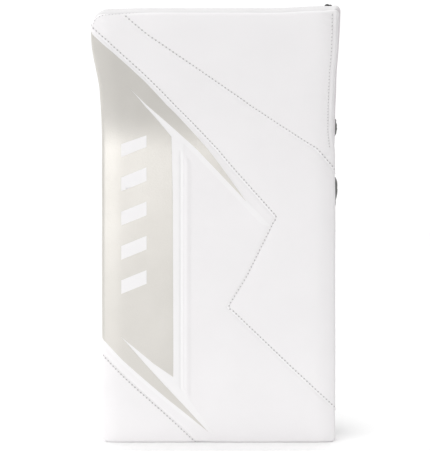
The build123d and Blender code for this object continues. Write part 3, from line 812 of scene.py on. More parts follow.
def face_panels():
    """The four sewn panels of the face, cut from one pattern along its seams."""
    points = tuples(PATTERN)
    constraints = loop_edges(len(points), len(PANEL_EDGE))
    points += tuples(PANEL_EDGE)
    for line in SEAMS:
        dense = resample(line, 1.6 * MM)
        dense = dense[inside_seam(*dense.T) > -3 * MM]
        first = len(points)
        points += tuples(dense)
        constraints += [(first + k, first + k + 1) for k in range(len(dense) - 1)]
    flat, triangles = triangulate(points, constraints)
    centres = flat[triangles].mean(axis=1)
    kept = inside(centres[:, 0], centres[:, 1], tuples(PANEL_EDGE))
    triangles, centres = triangles[kept], centres[kept]
    raised = face_lift(flat[:, 0], flat[:, 1], 0.0)
    taken = np.zeros(len(triangles), dtype=bool)
    for name, outline in [*PANEL_OUTLINES.items(), ("face_panel_middle", None)]:
        mine = ~taken
        if outline:
            mine &= inside(centres[:, 0], centres[:, 1], outline)
        taken |= mine
        used, index = np.unique(triangles[mine], return_inverse=True)
        piece = make_object(name + "_leather", raised[used], index.reshape(-1, 3), WHITE)
        place(shell(piece, SHEET), "white_leather", name)


# the silver's two long edges run inside the white border's, and its spikes lie between them
BORDER_TOP = [(-103.5, 369.3), (-86.4, 352.8), (-63.2, 326.7), (-39.4, 298.5), (-19.7, 273), (0.5, 246.5)]
BORDER_LOW = [(-29, 22.3), (-44.2, 34.7), (-64.3, 52.4), (-84.5, 70.1), (-101.7, 87.7)]
BORDER_OUTLINE = [(-130, 399), *BORDER_TOP, (24.5, 213), (46.2, 189.7), (37.3, 192.1), (-30.7, 263.4)]
BORDER_OUTLINE += [(-30.9, 49.4), (-24.5, 36.5), (-4, 7.5), *BORDER_LOW, (-130, 113)]
SILVER_OUTLINE = [(-130, 394), *shifted(BORDER_TOP, 1.5, -3.7), (24.1, 212)]
SILVER_OUTLINE += [(12.1, 224.8), (-13.1, 251.3), (-31.5, 270.7), (-52.4, 293), (-65.4, 306.8)]
SILVER_OUTLINE += [(-76.8, 319.3), (-68.0, 308.4), (-56.0, 291.8), (-41.3, 270.7), (-40.1, 212.2)]
SILVER_OUTLINE += [(-39.6, 58.3), (-55.9, 69.6), (-85, 93.7), (-63.5, 69.6), (-38.4, 41.9)]
SILVER_OUTLINE += [(-25.7, 28.1), (-9.4, 10.3), *shifted(BORDER_LOW, 0.8, 3.4), (-130, 119)]
BARS = 5
BAR_PITCH = 30.0
BAR_LOW = 128.0


def overlays():
    """The white film, the silver leather over it and the plain slanted bars on that."""

    def raised(height):
        return lambda x, run, more: face_lift(x, run, height + more)

    for name, outline, height, material, slot, cad_name in (
        ("white_border_film", BORDER_OUTLINE, 0.22, WHITE_FILM, "white_leather", "white_border"),
        ("silver_panel_leather", SILVER_OUTLINE, 0.44, SILVER, "silver_leather", "silver_panel"),
    ):
        overlay = sewn_sheet(
            name, millimetres(outline), raised(height * MM), material,
            step=1.8 * MM, thickness=0.25 * MM, scatter=PATTERN, edge=PANEL_EDGE,
        )
        place(overlay, slot, cad_name)
    for count in range(BARS):
        low = BAR_LOW + BAR_PITCH * count
        outline = millimetres([(-84.5, low + 3), (-62.7, low + 12), (-62.7, low + 24), (-84.5, low + 15)])
        bar = sewn_sheet(
            f"slanted_bar_{count + 1}", outline, raised(0.62 * MM), WHITE_FILM,
            step=1.8 * MM, thickness=0.2 * MM, scatter=PATTERN,
        )
        place(bar, "white_leather", "slanted_bars")


WALL_BACK = HALF_DEPTH
WALL_ROWS = 12


def wall_height(depth, low, ring):
    """The wall is tucked in at both seams and swells a little between them."""
    share = (depth - low) / (WALL_BACK - low)
    tuck = 0.8 * np.exp(-(((depth - low) / (1.0 * MM)) ** 2))
    tuck = tuck + 0.5 * np.exp(-(((WALL_BACK - depth) / (2 * MM)) ** 2))
    ripple = 0.35 * waves(ring[:, 0] + ring[:, 1], depth, 0.02, 8.0)
    return (0.7 * np.sin(math.pi * share) - tuck + ripple * np.sin(math.pi * share)) * MM


def walls():
    """Gusset between face and back, sewn of four strips."""
    for name in ("wall_outer_side", "wall_bottom", "wall_thumb_side", "wall_top"):
        mine = [k for k, label in enumerate(RING_WALLS) if label == name]
        start = next(k for k in mine if RING_WALLS[k - 1] != name)
        order = [(start + k) % len(RING) for k in range(len(mine) + 1)]
        ring = RING[order]
        low = -HALF_DEPTH + crown(ring[:, 0], ring[:, 1]) - CROWN_DROP
        low = low + ROLL_RADIUS * math.cos(CROWN_SLOPE) + CROWN_DROP + seam_reach(ring[:, 3]) - ROLL_RUN
        rows = []
        for share in np.linspace(0, 1, WALL_ROWS) ** 1.3:
            depth = low + share * (WALL_BACK - low)
            height = wall_height(depth, low, ring)
            rows.append(side_point(*ring.T, depth, height))
        # side and top walls take their darker leathers, which are painted shade; the bottom wall keeps the
        # face's white
        material = WALL_SHADED_LEATHERS.get(name, WHITE)
        piece = grid_sheet(name + "_leather", np.array(rows), material, SHEET, flip=True)
        place(piece, "white_leather", name)


def board_back():
    """Woven back of the board and the tape bound round its edge."""
    outline = tuples(ring_at(1.4 * MM))[::2]

    def padded_back(x, run, height):
        return back_point(x, run, height + 0.35 * MM * waves(x, run, 0.05, 5.0) - 0.9 * MM)

    back = sewn_sheet(
        "board_back_fabric", outline, padded_back, BACKING, 5.5 * MM, SHEET, flip=True
    )
    place(back, "back_fabric", "board_back_cover")
    section = [
        (EDGE - 0.9 * MM, HALF_DEPTH - 0.6 * MM), (EDGE - 1.0 * MM, HALF_DEPTH + 0.5 * MM),
        (EDGE - 1.7 * MM, HALF_DEPTH + 1.1 * MM), (EDGE - 3.4 * MM, HALF_DEPTH + 1.15 * MM),
        (EDGE - 6.2 * MM, HALF_DEPTH + 1.0 * MM), (EDGE - 7.2 * MM, HALF_DEPTH + 0.4 * MM),
    ]
    rows = []
    for out, depth in section:
        x, run = RING[:, 0] + RING[:, 2] * out, RING[:, 1] + RING[:, 3] * out
        rows.append(swollen(x, run, np.full(len(RING), depth)))
    tape = grid_sheet("back_edge_tape", np.array(rows), TAPE, 0.7 * MM, wrap=True, flip=True)
    place(tape, "grey_binding", "back_edge_binding")
    seam = tuples(ring_at(EDGE - 4.6 * MM))

    def on_tape(x, run, height):
        return back_point(x, run, height + 1.05 * MM)

    sew("back_edge", [looped(seam)], on_tape, "grey_binding", DARK_STITCH, pitch=4.5)


def board_stitching():
    """Topstitching along the seams of the face, and the finer row at the thumb-side edge."""
    rows = []
    for line in STITCHES:
        dense = resample(line, 1.0 * MM)
        rows.append(dense[inside_seam(*dense.T) > 2.5 * MM])
    corner = millimetres([(-99.5, 372), (-97, 377), (-91, 380), (-80, 381.5), (-66, 382)])
    for name, lines, pitch, length, width in (
        ("face_seams", rows, 3.3, 1.7, 0.46),
        ("edge_seam", [resample(shifted(EDGE_SEAM, -1.3 * MM, 0), 1.0 * MM)], 2.9, 1.2, 0.33),
        ("top_corner", [resample(corner, 1.0 * MM)], 2.6, 1.7, 0.28),
    ):
        sew(name, lines, face_lift, "white_leather", WHITE_STITCH, pitch=pitch, length=length, width=width)


def layer(name, inset, front, thickness, material, slot, cad_name):
    """Foam layer inside the cover: a bent slab with rounded corners."""
    outline = tuples(ring_at(-inset))[::2]

    def lift(x, run, height):
        return bend(x, run, front + 0.8 * crown(x, run) - height)

    piece = sewn_sheet(name, outline, lift, material, 7 * MM, thickness)
    soften(piece, 1.2 * MM)
    place(piece, slot, cad_name)


def lace_end():
    """Small tied end of the black lace, behind the top corner."""
    low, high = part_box("lace_knot")
    middle = (low + high) / 2 / MM
    turn = around(60) * 2 * math.pi
    x = middle.x + 0.80 * (np.sin(turn) + 2 * np.sin(2 * turn))
    y = middle.y - 1.1 * np.sin(3 * turn)
    z = middle.z + 0.66 * (np.cos(turn) - 2 * np.cos(2 * turn))
    knot = cords("lace_knot_tied", [np.stack([x, y, z], axis=1)], 1.35, LACE, sides=10, closed=True)
    place(knot, "black_lace", "lace_knot")


face_panels()
overlays()
walls()
board_back()
board_stitching()
layer("face_foam_pad", 0.6 * MM, -HALF_DEPTH + 1.6 * MM, 4.2 * MM, FACE_FOAM, "soft_foam", "face_foam")
layer("core_foam_block", 0.2 * MM, -6.4 * MM, 19.4 * MM, CORE_FOAM, "board_foam", "core_foam")
lace_end()
repaint("impact_plate", PLASTIC, 0.6 * MM)


# ---- Glove, guards, cuff and strap: sizes in millimetres, like the CAD's ----
HAND_X, HAND_Y = 20.0, 44.0
POCKET_LOW, KNUCKLE_Z = 116.0, 237.0
# height, centre x, centre y, half width, half depth, squareness of the ring
POCKET = [
    (116, HAND_X, HAND_Y, 48.4, 18.4, 4), (124, HAND_X, HAND_Y, 49, 19, 4),
    (200, HAND_X, HAND_Y, 49, 19, 4), (220, HAND_X, HAND_Y, 48.6, 17.4, 3.8),
    (237, HAND_X, HAND_Y, 48.2, 14.4, 3.4),
]
TAPER = [
    (89, 12, 56.2, 55.5, 35.5, 4.6), (93, 12, 56, 56.6, 36.6, 4.6), (104, 16, 50, 51.5, 26.5, 4.2),
    (114, 19.6, 44.6, 47.6, 18.4, 4), (121, HAND_X, HAND_Y, 46.6, 16.8, 4),
]
CUFF_RING = (12, 56.15, 58, 37.85, 4.8)
CUFF_TOP, CUFF_WALL = 92.0, 4.8
PALM_SLOPE = 0.84
FINGER_PITCH = 24.0
FINGERS = {
    # name: columns from the hand's middle, height of the middle joint, height of the tip
    "little": (-1.5, 267.0, 304.0), "ring": (-0.5, 275.0, 318.0),
    "middle": (0.5, 279.0, 326.0), "index": (1.5, 275.0, 318.0),
}
CURL = math.radians(20)
CURL_FROM, CURL_OVER = -4.0, 10.0
THUMB_ROOT = np.array([83.5, 44.0, 156.0])
THUMB_LEAN = math.radians(8)
INDEX_ARC = [(97, 250), (107.8, 281), (95, 324)]
OUTER_ARC = [(-42, 128), (-52, 205), (-40, 298)]
STRAP_FACE = 98.1


RING_SAMPLES = 721
RING_STRIDE = 0.003


def ring(centre_x, centre_y, half_x, half_y, power, shares):
    """Points at shares of the way round a rounded box from its thumb side, and directions out."""
    angle = np.linspace(0, 2 * math.pi, RING_SAMPLES)
    across, along = np.abs(np.cos(angle) / half_x), np.abs(np.sin(angle) / half_y)
    reach = (across**power + along**power) ** (-1 / power)
    loop = np.stack([reach * np.cos(angle), reach * np.sin(angle)], axis=1)
    travel = np.concatenate([[0], np.cumsum(np.hypot(*np.diff(loop, axis=0).T))])
    travel /= travel[-1]

    def at(places):
        return np.stack([np.interp(places % 1.0, travel, loop[:, k]) for k in range(2)], axis=1)

    shares = np.asarray(shares, dtype=float)
    ahead = at(shares + RING_STRIDE) - at(shares - RING_STRIDE)
    ahead /= np.hypot(ahead[:, 0], ahead[:, 1])[:, None]
    out = np.stack([ahead[:, 1], -ahead[:, 0]], axis=1)
    return at(shares) + (centre_x, centre_y), out


def levels(given, step):
    """Rings filled in at even heights between the given ones."""
    table = np.array(given, dtype=float)
    count = max(2, round((table[-1, 0] - table[0, 0]) / step) + 1)
    heights = np.linspace(table[0, 0], table[-1, 0], count)
    return np.stack([np.interp(heights, table[:, 0], column) for column in table.T], axis=1)


def tube(rows, shares, bump=None):
    """Rows of points round a tube. shares may differ from row to row; bump raises the surface."""
    result = []
    for k, (height, *form) in enumerate(rows):
        places = shares[k] if isinstance(shares, list) else shares
        points, out = ring(*form, places)
        if bump is not None:
            points = points + out * bump(places, height, points)[:, None]
        result.append(np.column_stack([points, np.full(len(points), height)]))
    return np.array(result)


def domed(rows, length, height):
    """Draws the last rows of a tube together into a round tip."""
    result = []
    for row in rows:
        rise = np.clip((row[0] - length + height) / height, 0, 0.995)
        shrink = math.sqrt(1 - rise**2)
        result.append((row[0], row[1], row[2], row[3] * shrink, row[4] * shrink, 3 - 0.8 * rise))
    return result


def tip_levels(given, length, height, step=2.0):
    """Rings of a tube up to a round tip of a given height."""
    rows = list(levels(given, step))
    body = [row for row in rows if row[0] < length - height]
    last = rows[-1]
    for share in np.sin(np.linspace(0, math.pi / 2, 9)):
        body.append(np.array([length - height + height * share * 0.995, *last[1:]]))
    return domed(body, length, height)


def skin(name, rows, material, thickness, wrap=False, keep=None, cap=False, round_edge=0.5, flip=False):
    """Leather, cloth or padding over rows of points, with its thickness inward."""
    points = rows.reshape(-1, 3)
    faces = grid_faces(rows.shape[0], rows.shape[1], wrap)
    if keep is not None:
        faces = [face for face in faces if keep(points[list(face)].mean(axis=0))]
    if cap:
        faces.append(tuple(range(len(points) - rows.shape[1], len(points))))
    if flip:
        faces = [face[::-1] for face in faces]
    used = sorted({k for face in faces for k in face})
    index = {old: new for new, old in enumerate(used)}
    faces = [tuple(index[k] for k in face) for face in faces]
    return shell(make_object(name, points[used] * MM, faces, material), thickness * MM, round_edge * MM)


def rolls(height, low, pitch):
    """Padded rolls between quilting lines."""
    return np.abs(np.sin(math.pi * (height - low) / pitch)) ** 0.6


def backward(shares):
    """1 on the back of a tube, fading to 0 on its palm side."""
    return smooth(0.35 + 0.9 * np.cos(2 * math.pi * (shares - 0.75)))


def wrinkle(shares, height, seed, size):
    """Unevenness that closes on itself round a tube."""
    angle = 2 * math.pi * shares
    return waves(30 * np.cos(angle), height * 1.3 + 20 * np.sin(angle), size, seed)


def piping(name, paths, radius, body="board", closed=False):
    """Dark leather cord sewn into a seam."""
    place(cords(name, paths, radius, DARK, closed=closed), "dark_leather", body=body)


# ---- Glove ----
def palm_top(y):
    """The pocket ends lower on the palm side than behind the fingers."""
    return KNUCKLE_Z - PALM_SLOPE * np.maximum(y - HAND_Y, 0)


def pocket_bump(shares, height, points):
    """Unevenness, drawn-in side seams and the creases of a used palm."""
    side = np.minimum(np.abs(shares % 1.0 - 0.5), np.minimum(shares % 1.0, 1 - shares % 1.0))
    palm = smooth((points[:, 1] - HAND_Y) / 8)
    bump = 0.9 * wrinkle(shares, height, 2.0, 14.0) + 0.35 * wrinkle(shares, height, 6.0, 5.0)
    bump -= 1.1 * np.exp(-((side / 0.012) ** 2))
    sweep = points[:, 0] - HAND_X
    for crease, slope in ((226, 0.05), (212, -0.10), (186, -0.34)):
        away = height - crease - slope * sweep
        bump -= 0.9 * palm * np.exp(-((away / 2.0) ** 2))
        bump += 0.5 * palm * np.exp(-(((away - 4.5) / 3.0) ** 2))
    return bump


THUMB_WAY_SIDE = 64
THUMB_WAY_HALF = 9.5
THUMB_WAY_LOW, THUMB_WAY_HIGH = 130, 156


def thumb_way(centre):
    """False in the opening where the thumb leaves the pocket."""
    x, y, height = centre
    between = THUMB_WAY_LOW < height < THUMB_WAY_HIGH and abs(y - HAND_Y) < THUMB_WAY_HALF
    return not (x > THUMB_WAY_SIDE and between)


def pocket():
    """Hand pocket: mesh behind the hand, suede over the palm, joined by piped side seams."""
    rows = levels(POCKET, 2.2)
    halves = (
        ("palm_suede_skin", np.linspace(0, 0.5, 64), PALM, "palm_suede", "palm_leather"),
        ("glove_back_mesh", np.linspace(0.5, 1, 64), MESH_KNIT, "dark_mesh", "glove_back_liner"),
    )
    rim_path, seams = [], []
    for name, shares, material, finish, cad_name in halves:
        points = tube(rows, shares, pocket_bump)
        share = (points[..., 2] - POCKET_LOW) / (KNUCKLE_Z - POCKET_LOW)
        points[..., 2] = POCKET_LOW + share * (palm_top(points[..., 1]) - POCKET_LOW)
        place(skin(name, points, material, 2.2, keep=thumb_way), finish, cad_name)
        rim_path += list(points[-1, :-1])
        seams.append(points[:, 0] + (0.9 if shares[0] == 0 else -0.9, 0, 0))
    piping("pocket_rim_piping", [rim_path], 1.5, closed=True)
    low_part = [point for point in seams[0] if point[2] <= THUMB_WAY_LOW - 2]
    high_part = [point for point in seams[0] if point[2] >= THUMB_WAY_HIGH + 1]
    piping("pocket_side_piping", [low_part, high_part, seams[1]], 1.2)


def palm_surface(z, x, height):
    """Outer face of the palm patch, from places given up and across the palm."""
    z, x = z / MM, x / MM
    spread = np.clip(np.abs((x - HAND_X) / 49) ** 4, 0, 0.99)
    table = np.array(POCKET, dtype=float)
    half = np.interp(POCKET_LOW + (z - POCKET_LOW) / 0.87, table[:, 0], table[:, 4])
    y = HAND_Y + half * (1 - spread) ** 0.25 + 1.3
    return np.stack([x * MM, y * MM + height, z * MM], axis=-1)


def palm_patch():
    """Grip patch sewn on the palm, embossed with a lattice."""
    outline = rounded_outline(136, 214, -10, 52, 14)

    def quilted(z, x, height):
        lattice = np.abs(np.sin((z + x) / (4.4 * MM)) * np.sin((z - x) / (4.4 * MM)))
        return palm_surface(z, x, height + 0.45 * MM * lattice)

    patch = sewn_sheet("palm_grip_patch", outline, quilted, GRIP, 1.7 * MM, 1.3 * MM)
    place(patch, "palm_patch_leather", "palm_patch")
    row = rounded_outline(139, 211, -7, 49, 11)

    def on_patch(z, x, height):
        return palm_surface(z, x, height + 0.5 * MM)

    sew("palm_patch", [looped(row)], on_patch, "palm_patch_leather", DARK_STITCH, pitch=3.4, length=2.2)


def taper():
    """Gathered mesh between cuff and pocket, under a bound edge at each end."""

    def gathers(shares, height, points):
        fade = math.sin(math.pi * np.clip((height - 89) / 32, 0, 1))
        pleats = np.sin(2 * math.pi * 26 * shares + 2.5 * np.sin(2 * math.pi * 3 * shares))
        return (0.8 * pleats + 1.2 * wrinkle(shares, height, 9.0, 8.0)) * fade

    points = tube(levels(TAPER, 1.6), around(180), gathers)
    place(skin("wrist_gather", points, MESH_KNIT, 2.0, wrap=True), "dark_mesh", "wrist_taper")
    low, _ = ring(HAND_X, HAND_Y, 48.9, 18.9, 4, around(120))
    edge = np.column_stack([low, np.full(120, POCKET_LOW + 0.6)])
    piping("wrist_piping", [edge], 1.4, closed=True)


def curled(points, middle):
    """Bends what lies above a middle joint towards the palm."""
    rise = points[..., 2] - middle
    angle = CURL * np.clip((rise - CURL_FROM) / CURL_OVER, 0, 1)
    radius = CURL_OVER / CURL
    beyond = np.maximum(rise - CURL_FROM - CURL_OVER, 0)
    below = np.minimum(rise - CURL_FROM, 0)
    y = radius * (1 - np.cos(angle)) + beyond * math.sin(CURL)
    z = CURL_FROM + radius * np.sin(angle) + beyond * math.cos(CURL) + below
    depth = points[..., 1] - HAND_Y
    bent = points.copy()
    bent[..., 1] = HAND_Y + y + depth * np.cos(angle)
    bent[..., 2] = middle + z - depth * np.sin(angle)
    return bent


def axis_stretch(x, low, high):
    return [(x * MM, HAND_Y * MM, height * MM) for height in (low, high)]


def stations(x, y, *forms):
    """Oval rings about one axis, from heights and half sizes."""
    return [(height, x, y, half_x, half_y, 3) for height, half_x, half_y in forms]


def finger(name, column, middle, tip):
    """Two-part stall: padded rolls on its back, suede on the palm side, a bound middle joint."""
    x = HAND_X + FINGER_PITCH * column
    lower = stations(x, HAND_Y, (223, 10.0, 12.0), (234, 10.7, 12.7), (240, 11.2, 13), (middle - 7, 11.2, 13))

    def padding(shares, height, points):
        folds = 0.7 * np.exp(-(((height - 252) / 1.6) ** 2)) * (1 - backward(shares))
        seam = 0.5 * np.exp(-(((shares % 0.5) / 0.02) ** 2))
        quilt = 1.0 * backward(shares) * rolls(height, 240, 13.5) * smooth((height - 238) / 4)
        return quilt - folds - seam + 0.35 * wrinkle(shares, height, 11.0 + column, 9.0)

    first = (name + "_proximal", name + "_distal")
    points = tube(levels(lower, 1.6), around(56), padding)
    knuckle = ("board", first[0], *axis_stretch(x, KNUCKLE_Z - 5, KNUCKLE_Z + 6))
    piece = skin(name + "_stall_lower_skin", points, PALM, 2.0, wrap=True)
    place(piece, "palm_suede", name + "_stall_proximal", body=knuckle)
    sides = [[points[k, column] for k in range(len(points))] for column in (5, 23, 42)]
    piping(name + "_stall_lower_seams", sides, 0.55, knuckle)
    upper = stations(x, HAND_Y, (middle - 11, 11.7, 13.5), (middle + 6, 11.5, 13.2), (tip, 11.2, 12.8))
    points = curled(tube(tip_levels(upper, tip + 0.5, 11, 1.6), around(56), padding), middle)
    joint = (*first, *axis_stretch(x, middle - 6, middle + 6))
    piece = skin(name + "_stall_upper_skin", points, PALM, 2.0, wrap=True, cap=True)
    place(piece, "palm_suede", name + "_stall_distal", body=joint)
    loop, _ = ring(x, 44, 11.5, 13.4, 3, around(56))
    hem = np.column_stack([loop, np.full(56, middle - 11.0)])
    piping(name + "_stall_hem", [hem], 0.9, first[0], closed=True)
    sides = [[points[k, column] for k in range(1, len(points) - 4)] for column in (5, 23, 42)]
    piping(name + "_stall_upper_seams", sides, 0.55, joint)


# ---- Thumb ----
def thumb_space(points):
    """Puts a tube that stands at the origin on the leaning thumb axis."""
    sine, cosine = math.sin(THUMB_LEAN), math.cos(THUMB_LEAN)
    x, y, height = points[..., 0], points[..., 1], points[..., 2]
    return np.stack([x * cosine + height * sine, y, height * cosine - x * sine], axis=-1) + THUMB_ROOT


def thumb_saddle():
    """Elbow of suede from the side of the pocket up to the thumb stall."""
    corner_x, corner_z = 70.2, 157.4
    rows = []
    for turn in np.concatenate([[-8.0], np.linspace(0, 90, 22), [98.0]]):
        angle = math.radians(np.clip(turn, 0, 90))
        outer = 29.6 - 4.4 * turn / 90 + 3.0 * math.sin(2 * angle)
        centre, half = (outer + 1.0) / 2, (outer - 1.0) / 2
        loop, out = ring(0, 0, half, 13, 3, around(60))
        loop = loop + out * (0.8 * wrinkle(around(60), turn, 4.0, 11.0))[:, None]
        reach = centre + loop[:, 0]
        x = corner_x + math.sin(angle) * reach + min(turn, 0)
        z = corner_z - math.cos(angle) * reach + max(turn - 90, 0) * 0.2
        rows.append(np.stack([x, HAND_Y + loop[:, 1], z], axis=1))
    rows = np.array(rows)
    piece = skin("thumb_saddle_skin", rows, PALM, 2.0, wrap=True)
    place(piece, "palm_suede", "thumb_saddle")
    piping("thumb_saddle_piping", [rows[-1]], 1.2, closed=True)
    mouth = rows[2] + (-0.4, 0, 0)
    piping("thumb_way_piping", [mouth], 1.2, closed=True)


def thumb():
    """Thumb stall, and the padded hood that guards its back and tip."""
    def folds(shares, height, points):
        crease = 0.6 * np.exp(-(((height - 34) / 1.6) ** 2)) * (1 - backward(shares))
        return 0.6 * wrinkle(shares, height, 15.0, 9.0) - crease

    stall = stations(0, 0, (-7, 9.6, 11.2), (1, 10.2, 12), (6, 11.2, 13), (80, 11, 12.6))
    points = thumb_space(tube(tip_levels(stall, 80, 11), around(60), folds))
    ends = [tuple(thumb_space(np.array([0.0, 0.0, height])) * MM) for height in (-3.0, 5.0)]
    piece = skin("thumb_stall_skin", points, PALM, 2.0, wrap=True, cap=True)
    place(piece, "palm_suede", "thumb_stall", body=("board", "thumb", *ends))

    def quilt(shares, height, points):
        spread = smooth((0.5 - np.abs(shares - 0.75)) / 0.12)
        return 1.1 * backward(shares) * rolls(height, 14, 12) * spread

    guard = stations(0, 0, (13, 14.2, 16.0), (40, 14.8, 16.0), (58, 15.9, 16.2), (90, 15.5, 16))
    rows = tip_levels(guard, 89.5, 17)
    shares = [0.75 + np.linspace(-1, 1, 61) * (0.27 + 0.228 * smooth((row[0] - 52) / 14)) for row in rows]
    points = thumb_space(tube(rows, shares, quilt))
    hood = skin("thumb_guard_padding", points, DARK, 3.2, cap=True, round_edge=1.0)
    place(hood, "dark_leather", "thumb_guard", body="thumb")
    top = next(k for k, row in enumerate(rows) if row[0] > 65)
    edge = list(points[: top, -1]) + list(points[: top, 0][::-1]) + list(points[0, 1:-1])
    place(cords("thumb_guard_binding", [edge], 1.3, TAPE, closed=True), "grey_binding", body="thumb")


# ---- Side guards ----
def arc_x(arc, height):
    """x of the circle through three (x, z) points, at a height."""
    (ax, az), (bx, bz), (cx, cz) = arc
    matrix = np.array([[bx - ax, bz - az], [cx - ax, cz - az]]) * 2
    right = [bx**2 - ax**2 + bz**2 - az**2, cx**2 - ax**2 + cz**2 - az**2]
    centre = np.linalg.solve(matrix, right)
    radius = math.hypot(ax - centre[0], az - centre[1])
    side = math.copysign(1, bx - centre[0])
    return centre[0] + side * np.sqrt(radius**2 - (height - centre[1]) ** 2)


GUARD_CORNER = 15.0
GUARD_SQUARE = 3.4
PLATE_SQUARE = 7.0
INDEX_SPAN, OUTER_SPAN = (250.5, 323.5), (128.5, 297.5)
GUARD_KNUCKLE_Z = 279.0


def guard_top(low, high, high_y, height):
    """Rear edge of a guard at a height: its corners are round."""
    end = min(height - low, high - height)
    cut = math.sqrt(max(GUARD_CORNER**2 - max(GUARD_CORNER - end, 0) ** 2, 0))
    return high_y - GUARD_CORNER + cut


def guard_skin(low, high, faces, low_y, high_y):
    """Outer surface of a guard's padding, for its stitching."""

    def surface(y, z, lift):
        across, heights = np.broadcast_arrays(y / MM, z / MM)
        face = []
        for along, height in zip(across.ravel(), heights.ravel()):
            inner, outer = faces(height)
            share = abs(2 * (along - low_y) / (guard_top(low, high, high_y, height) - low_y) - 1)
            swell = (1 - min(share, 1.0) ** GUARD_SQUARE) ** (1 / GUARD_SQUARE)
            face.append((inner + outer + (outer - inner) * swell) / 2)
        side = np.sign(outer - inner)
        face = np.reshape(face, heights.shape) * MM + side * (lift + 0.1 * MM)
        return np.stack([face, across * MM, heights * MM], axis=-1)

    return surface


def guard_strip(name, low, high, faces, low_y, high_y, material, finish, cad_name, fill=None):
    """Strip up the side with round rear corners: faces gives its two x positions at a height."""
    rings = []
    ends = GUARD_CORNER * (1 - np.cos(np.linspace(0, math.pi / 2, 10)))
    middle = np.linspace(low + GUARD_CORNER, high - GUARD_CORNER, round((high - low) / 1.6))[1:-1]
    for height in (*(low + ends), *middle, *(high - ends[::-1])):
        inner, outer = faces(height)
        end = min(height - low, high - height)
        thin = 1 - 0.5 * math.exp(-end / 1.4)
        top_y = guard_top(low, high, high_y, height)
        loop, _ = ring(
            (inner + outer) / 2, (low_y + top_y) / 2, abs(outer - inner) / 2 * thin, (top_y - low_y) / 2,
            GUARD_SQUARE if fill else PLATE_SQUARE, around(96),
        )
        rings.append(np.column_stack([loop, np.full(96, height)]))
    piece = solid_loft(name, np.array(rings) * MM, material)
    place(piece, finish, cad_name)


def guard_gusset(name, arc, inward, low, high, material, finish):
    """Leather web that closes the gap between a guard and the bent back of the board."""
    rows = []
    for run in np.linspace(low, high, 34):
        height = float(bend(0.0, run * MM, HALF_DEPTH)[2]) / MM
        x = float(arc_x(arc, min(height, arc[2][1] - 1))) - inward
        base = back_point(np.array([(x - 3 * np.sign(inward)) * MM]), np.array([run * MM]), -0.4 * MM)[0] / MM
        share = np.linspace(0, 1, 9)[:, None]
        web = base + (np.array([x, 21.5, height]) - base) * share
        web[:, 0] += 1.6 * np.sign(inward) * np.sin(math.pi * share[:, 0]) * rolls(height, 250, 12)
        rows.append(web)
    place(skin(name, np.array(rows), material, 1.8), finish)


def index_back(height):
    """Where the index guard's plate and foam meet."""
    return float(arc_x(INDEX_ARC, height)) - 8.0


def index_face(height):
    """Foam of the index guard: quilted rolls and a thicker one at the knuckle."""
    knuckle = 5.2 * math.exp(-(((height - GUARD_KNUCKLE_Z) / 12.5) ** 4))
    back = index_back(height)
    return back + 0.1, back + 1.8 + 1.0 * rolls(height, 260.5, 12.3) + knuckle


def index_plate_face(height):
    back = index_back(height)
    return back - 2.5, back


def index_lining_face(height):
    back = index_back(height) - 2.6
    return back - 2.2 - 1.0 * rolls(height, 250, 18.5), back


def outer_face(height):
    back = float(arc_x(OUTER_ARC, height)) - 0.1
    return back, back - 4.4 - 2.0 * rolls(height, 128, 34)


def outer_plate_face(height):
    back = float(arc_x(OUTER_ARC, height))
    return back, back + 2.4


def guards():
    """Foam, plate and lining of both guards, the webs that close them in front, and stitching."""
    for name, span_z, faces, low_y, high_y, material, slot, cad_name, fill in (
        ("index_guard_padding", INDEX_SPAN, index_face, 16.6, 67.6, DARK, "dark_leather",
         "index_guard_foam", 0.9),
        ("index_guard_mesh", INDEX_SPAN, index_lining_face, 16.8, 67.0, MESH_KNIT, "dark_mesh",
         "index_guard_lining", 0.6),
        ("index_guard_sheet", INDEX_SPAN, index_plate_face, 16.7, 66.4, PLASTIC, "plastic_sheet",
         "index_guard_plate", None),
        ("outer_guard_padding", OUTER_SPAN, outer_face, 18.2, 59.8, CUFF_WHITE_SHADED, "white_leather",
         "outer_guard_foam", 0.9),
        ("outer_guard_sheet", OUTER_SPAN, outer_plate_face, 18.2, 58.4, PLASTIC, "plastic_sheet",
         "outer_guard_plate", None),
    ):
        guard_strip(name, *span_z, faces, low_y, high_y, material, slot, cad_name, fill)
    guard_gusset("index_guard_gusset", INDEX_ARC, 9.0, 251, 313, DARK, "dark_leather")
    guard_gusset("outer_guard_gusset", OUTER_ARC, -1.0, 247, 287, CUFF_WHITE_SHADED, "white_leather")
    on_outer = guard_skin(*OUTER_SPAN, outer_face, 18.2, 59.8)
    lines = [millimetres([(height, 22), (height, 56)]) for height in (162, 196, 230, 264)]
    sew("outer_guard", lines, lambda z, y, lift: on_outer(y, z, lift), "white_leather", WHITE_STITCH)
    on_index = guard_skin(*INDEX_SPAN, index_face, 16.6, 67.6)
    lines = [millimetres([(22, height), (60, height)]) for height in (260.5, 272.8, 285.1, 297.4, 309.7)]
    border = rounded_outline(20, 63, 255, 319, 11)
    sew("index_guard", [looped(border)] + lines, on_index, "dark_leather", DARK_STITCH)


# ---- Cuff ----
def span(test, start):
    """First and last share of the cuff's ring where a test of its points holds."""
    shares = start + np.linspace(0, 1, 1441)
    points, _ = ring(*CUFF_RING, shares)
    found = shares[test(points[:, 0], points[:, 1])]
    return found[0], found[-1]


def cuff_padding(shares, height, points):
    """Quilted rolls on the sides and back, flat under the strap."""
    flat = 1 - smooth((points[:, 1] - 84) / 6)
    edge = smooth((CUFF_TOP - height) / 5) * smooth((height - 4) / 6)
    return flat * edge * (1.6 * rolls(height, 8, 28) - 0.2) + 0.3 * flat * wrinkle(shares, height, 21.0, 12.0)


def gusset_folds(shares, height, points):
    """Fine ribs of the stretch gusset, sunk below the walls."""
    return 0.35 * np.sin(2 * math.pi * shares * 60) * smooth((height - 4) / 8) - 0.4


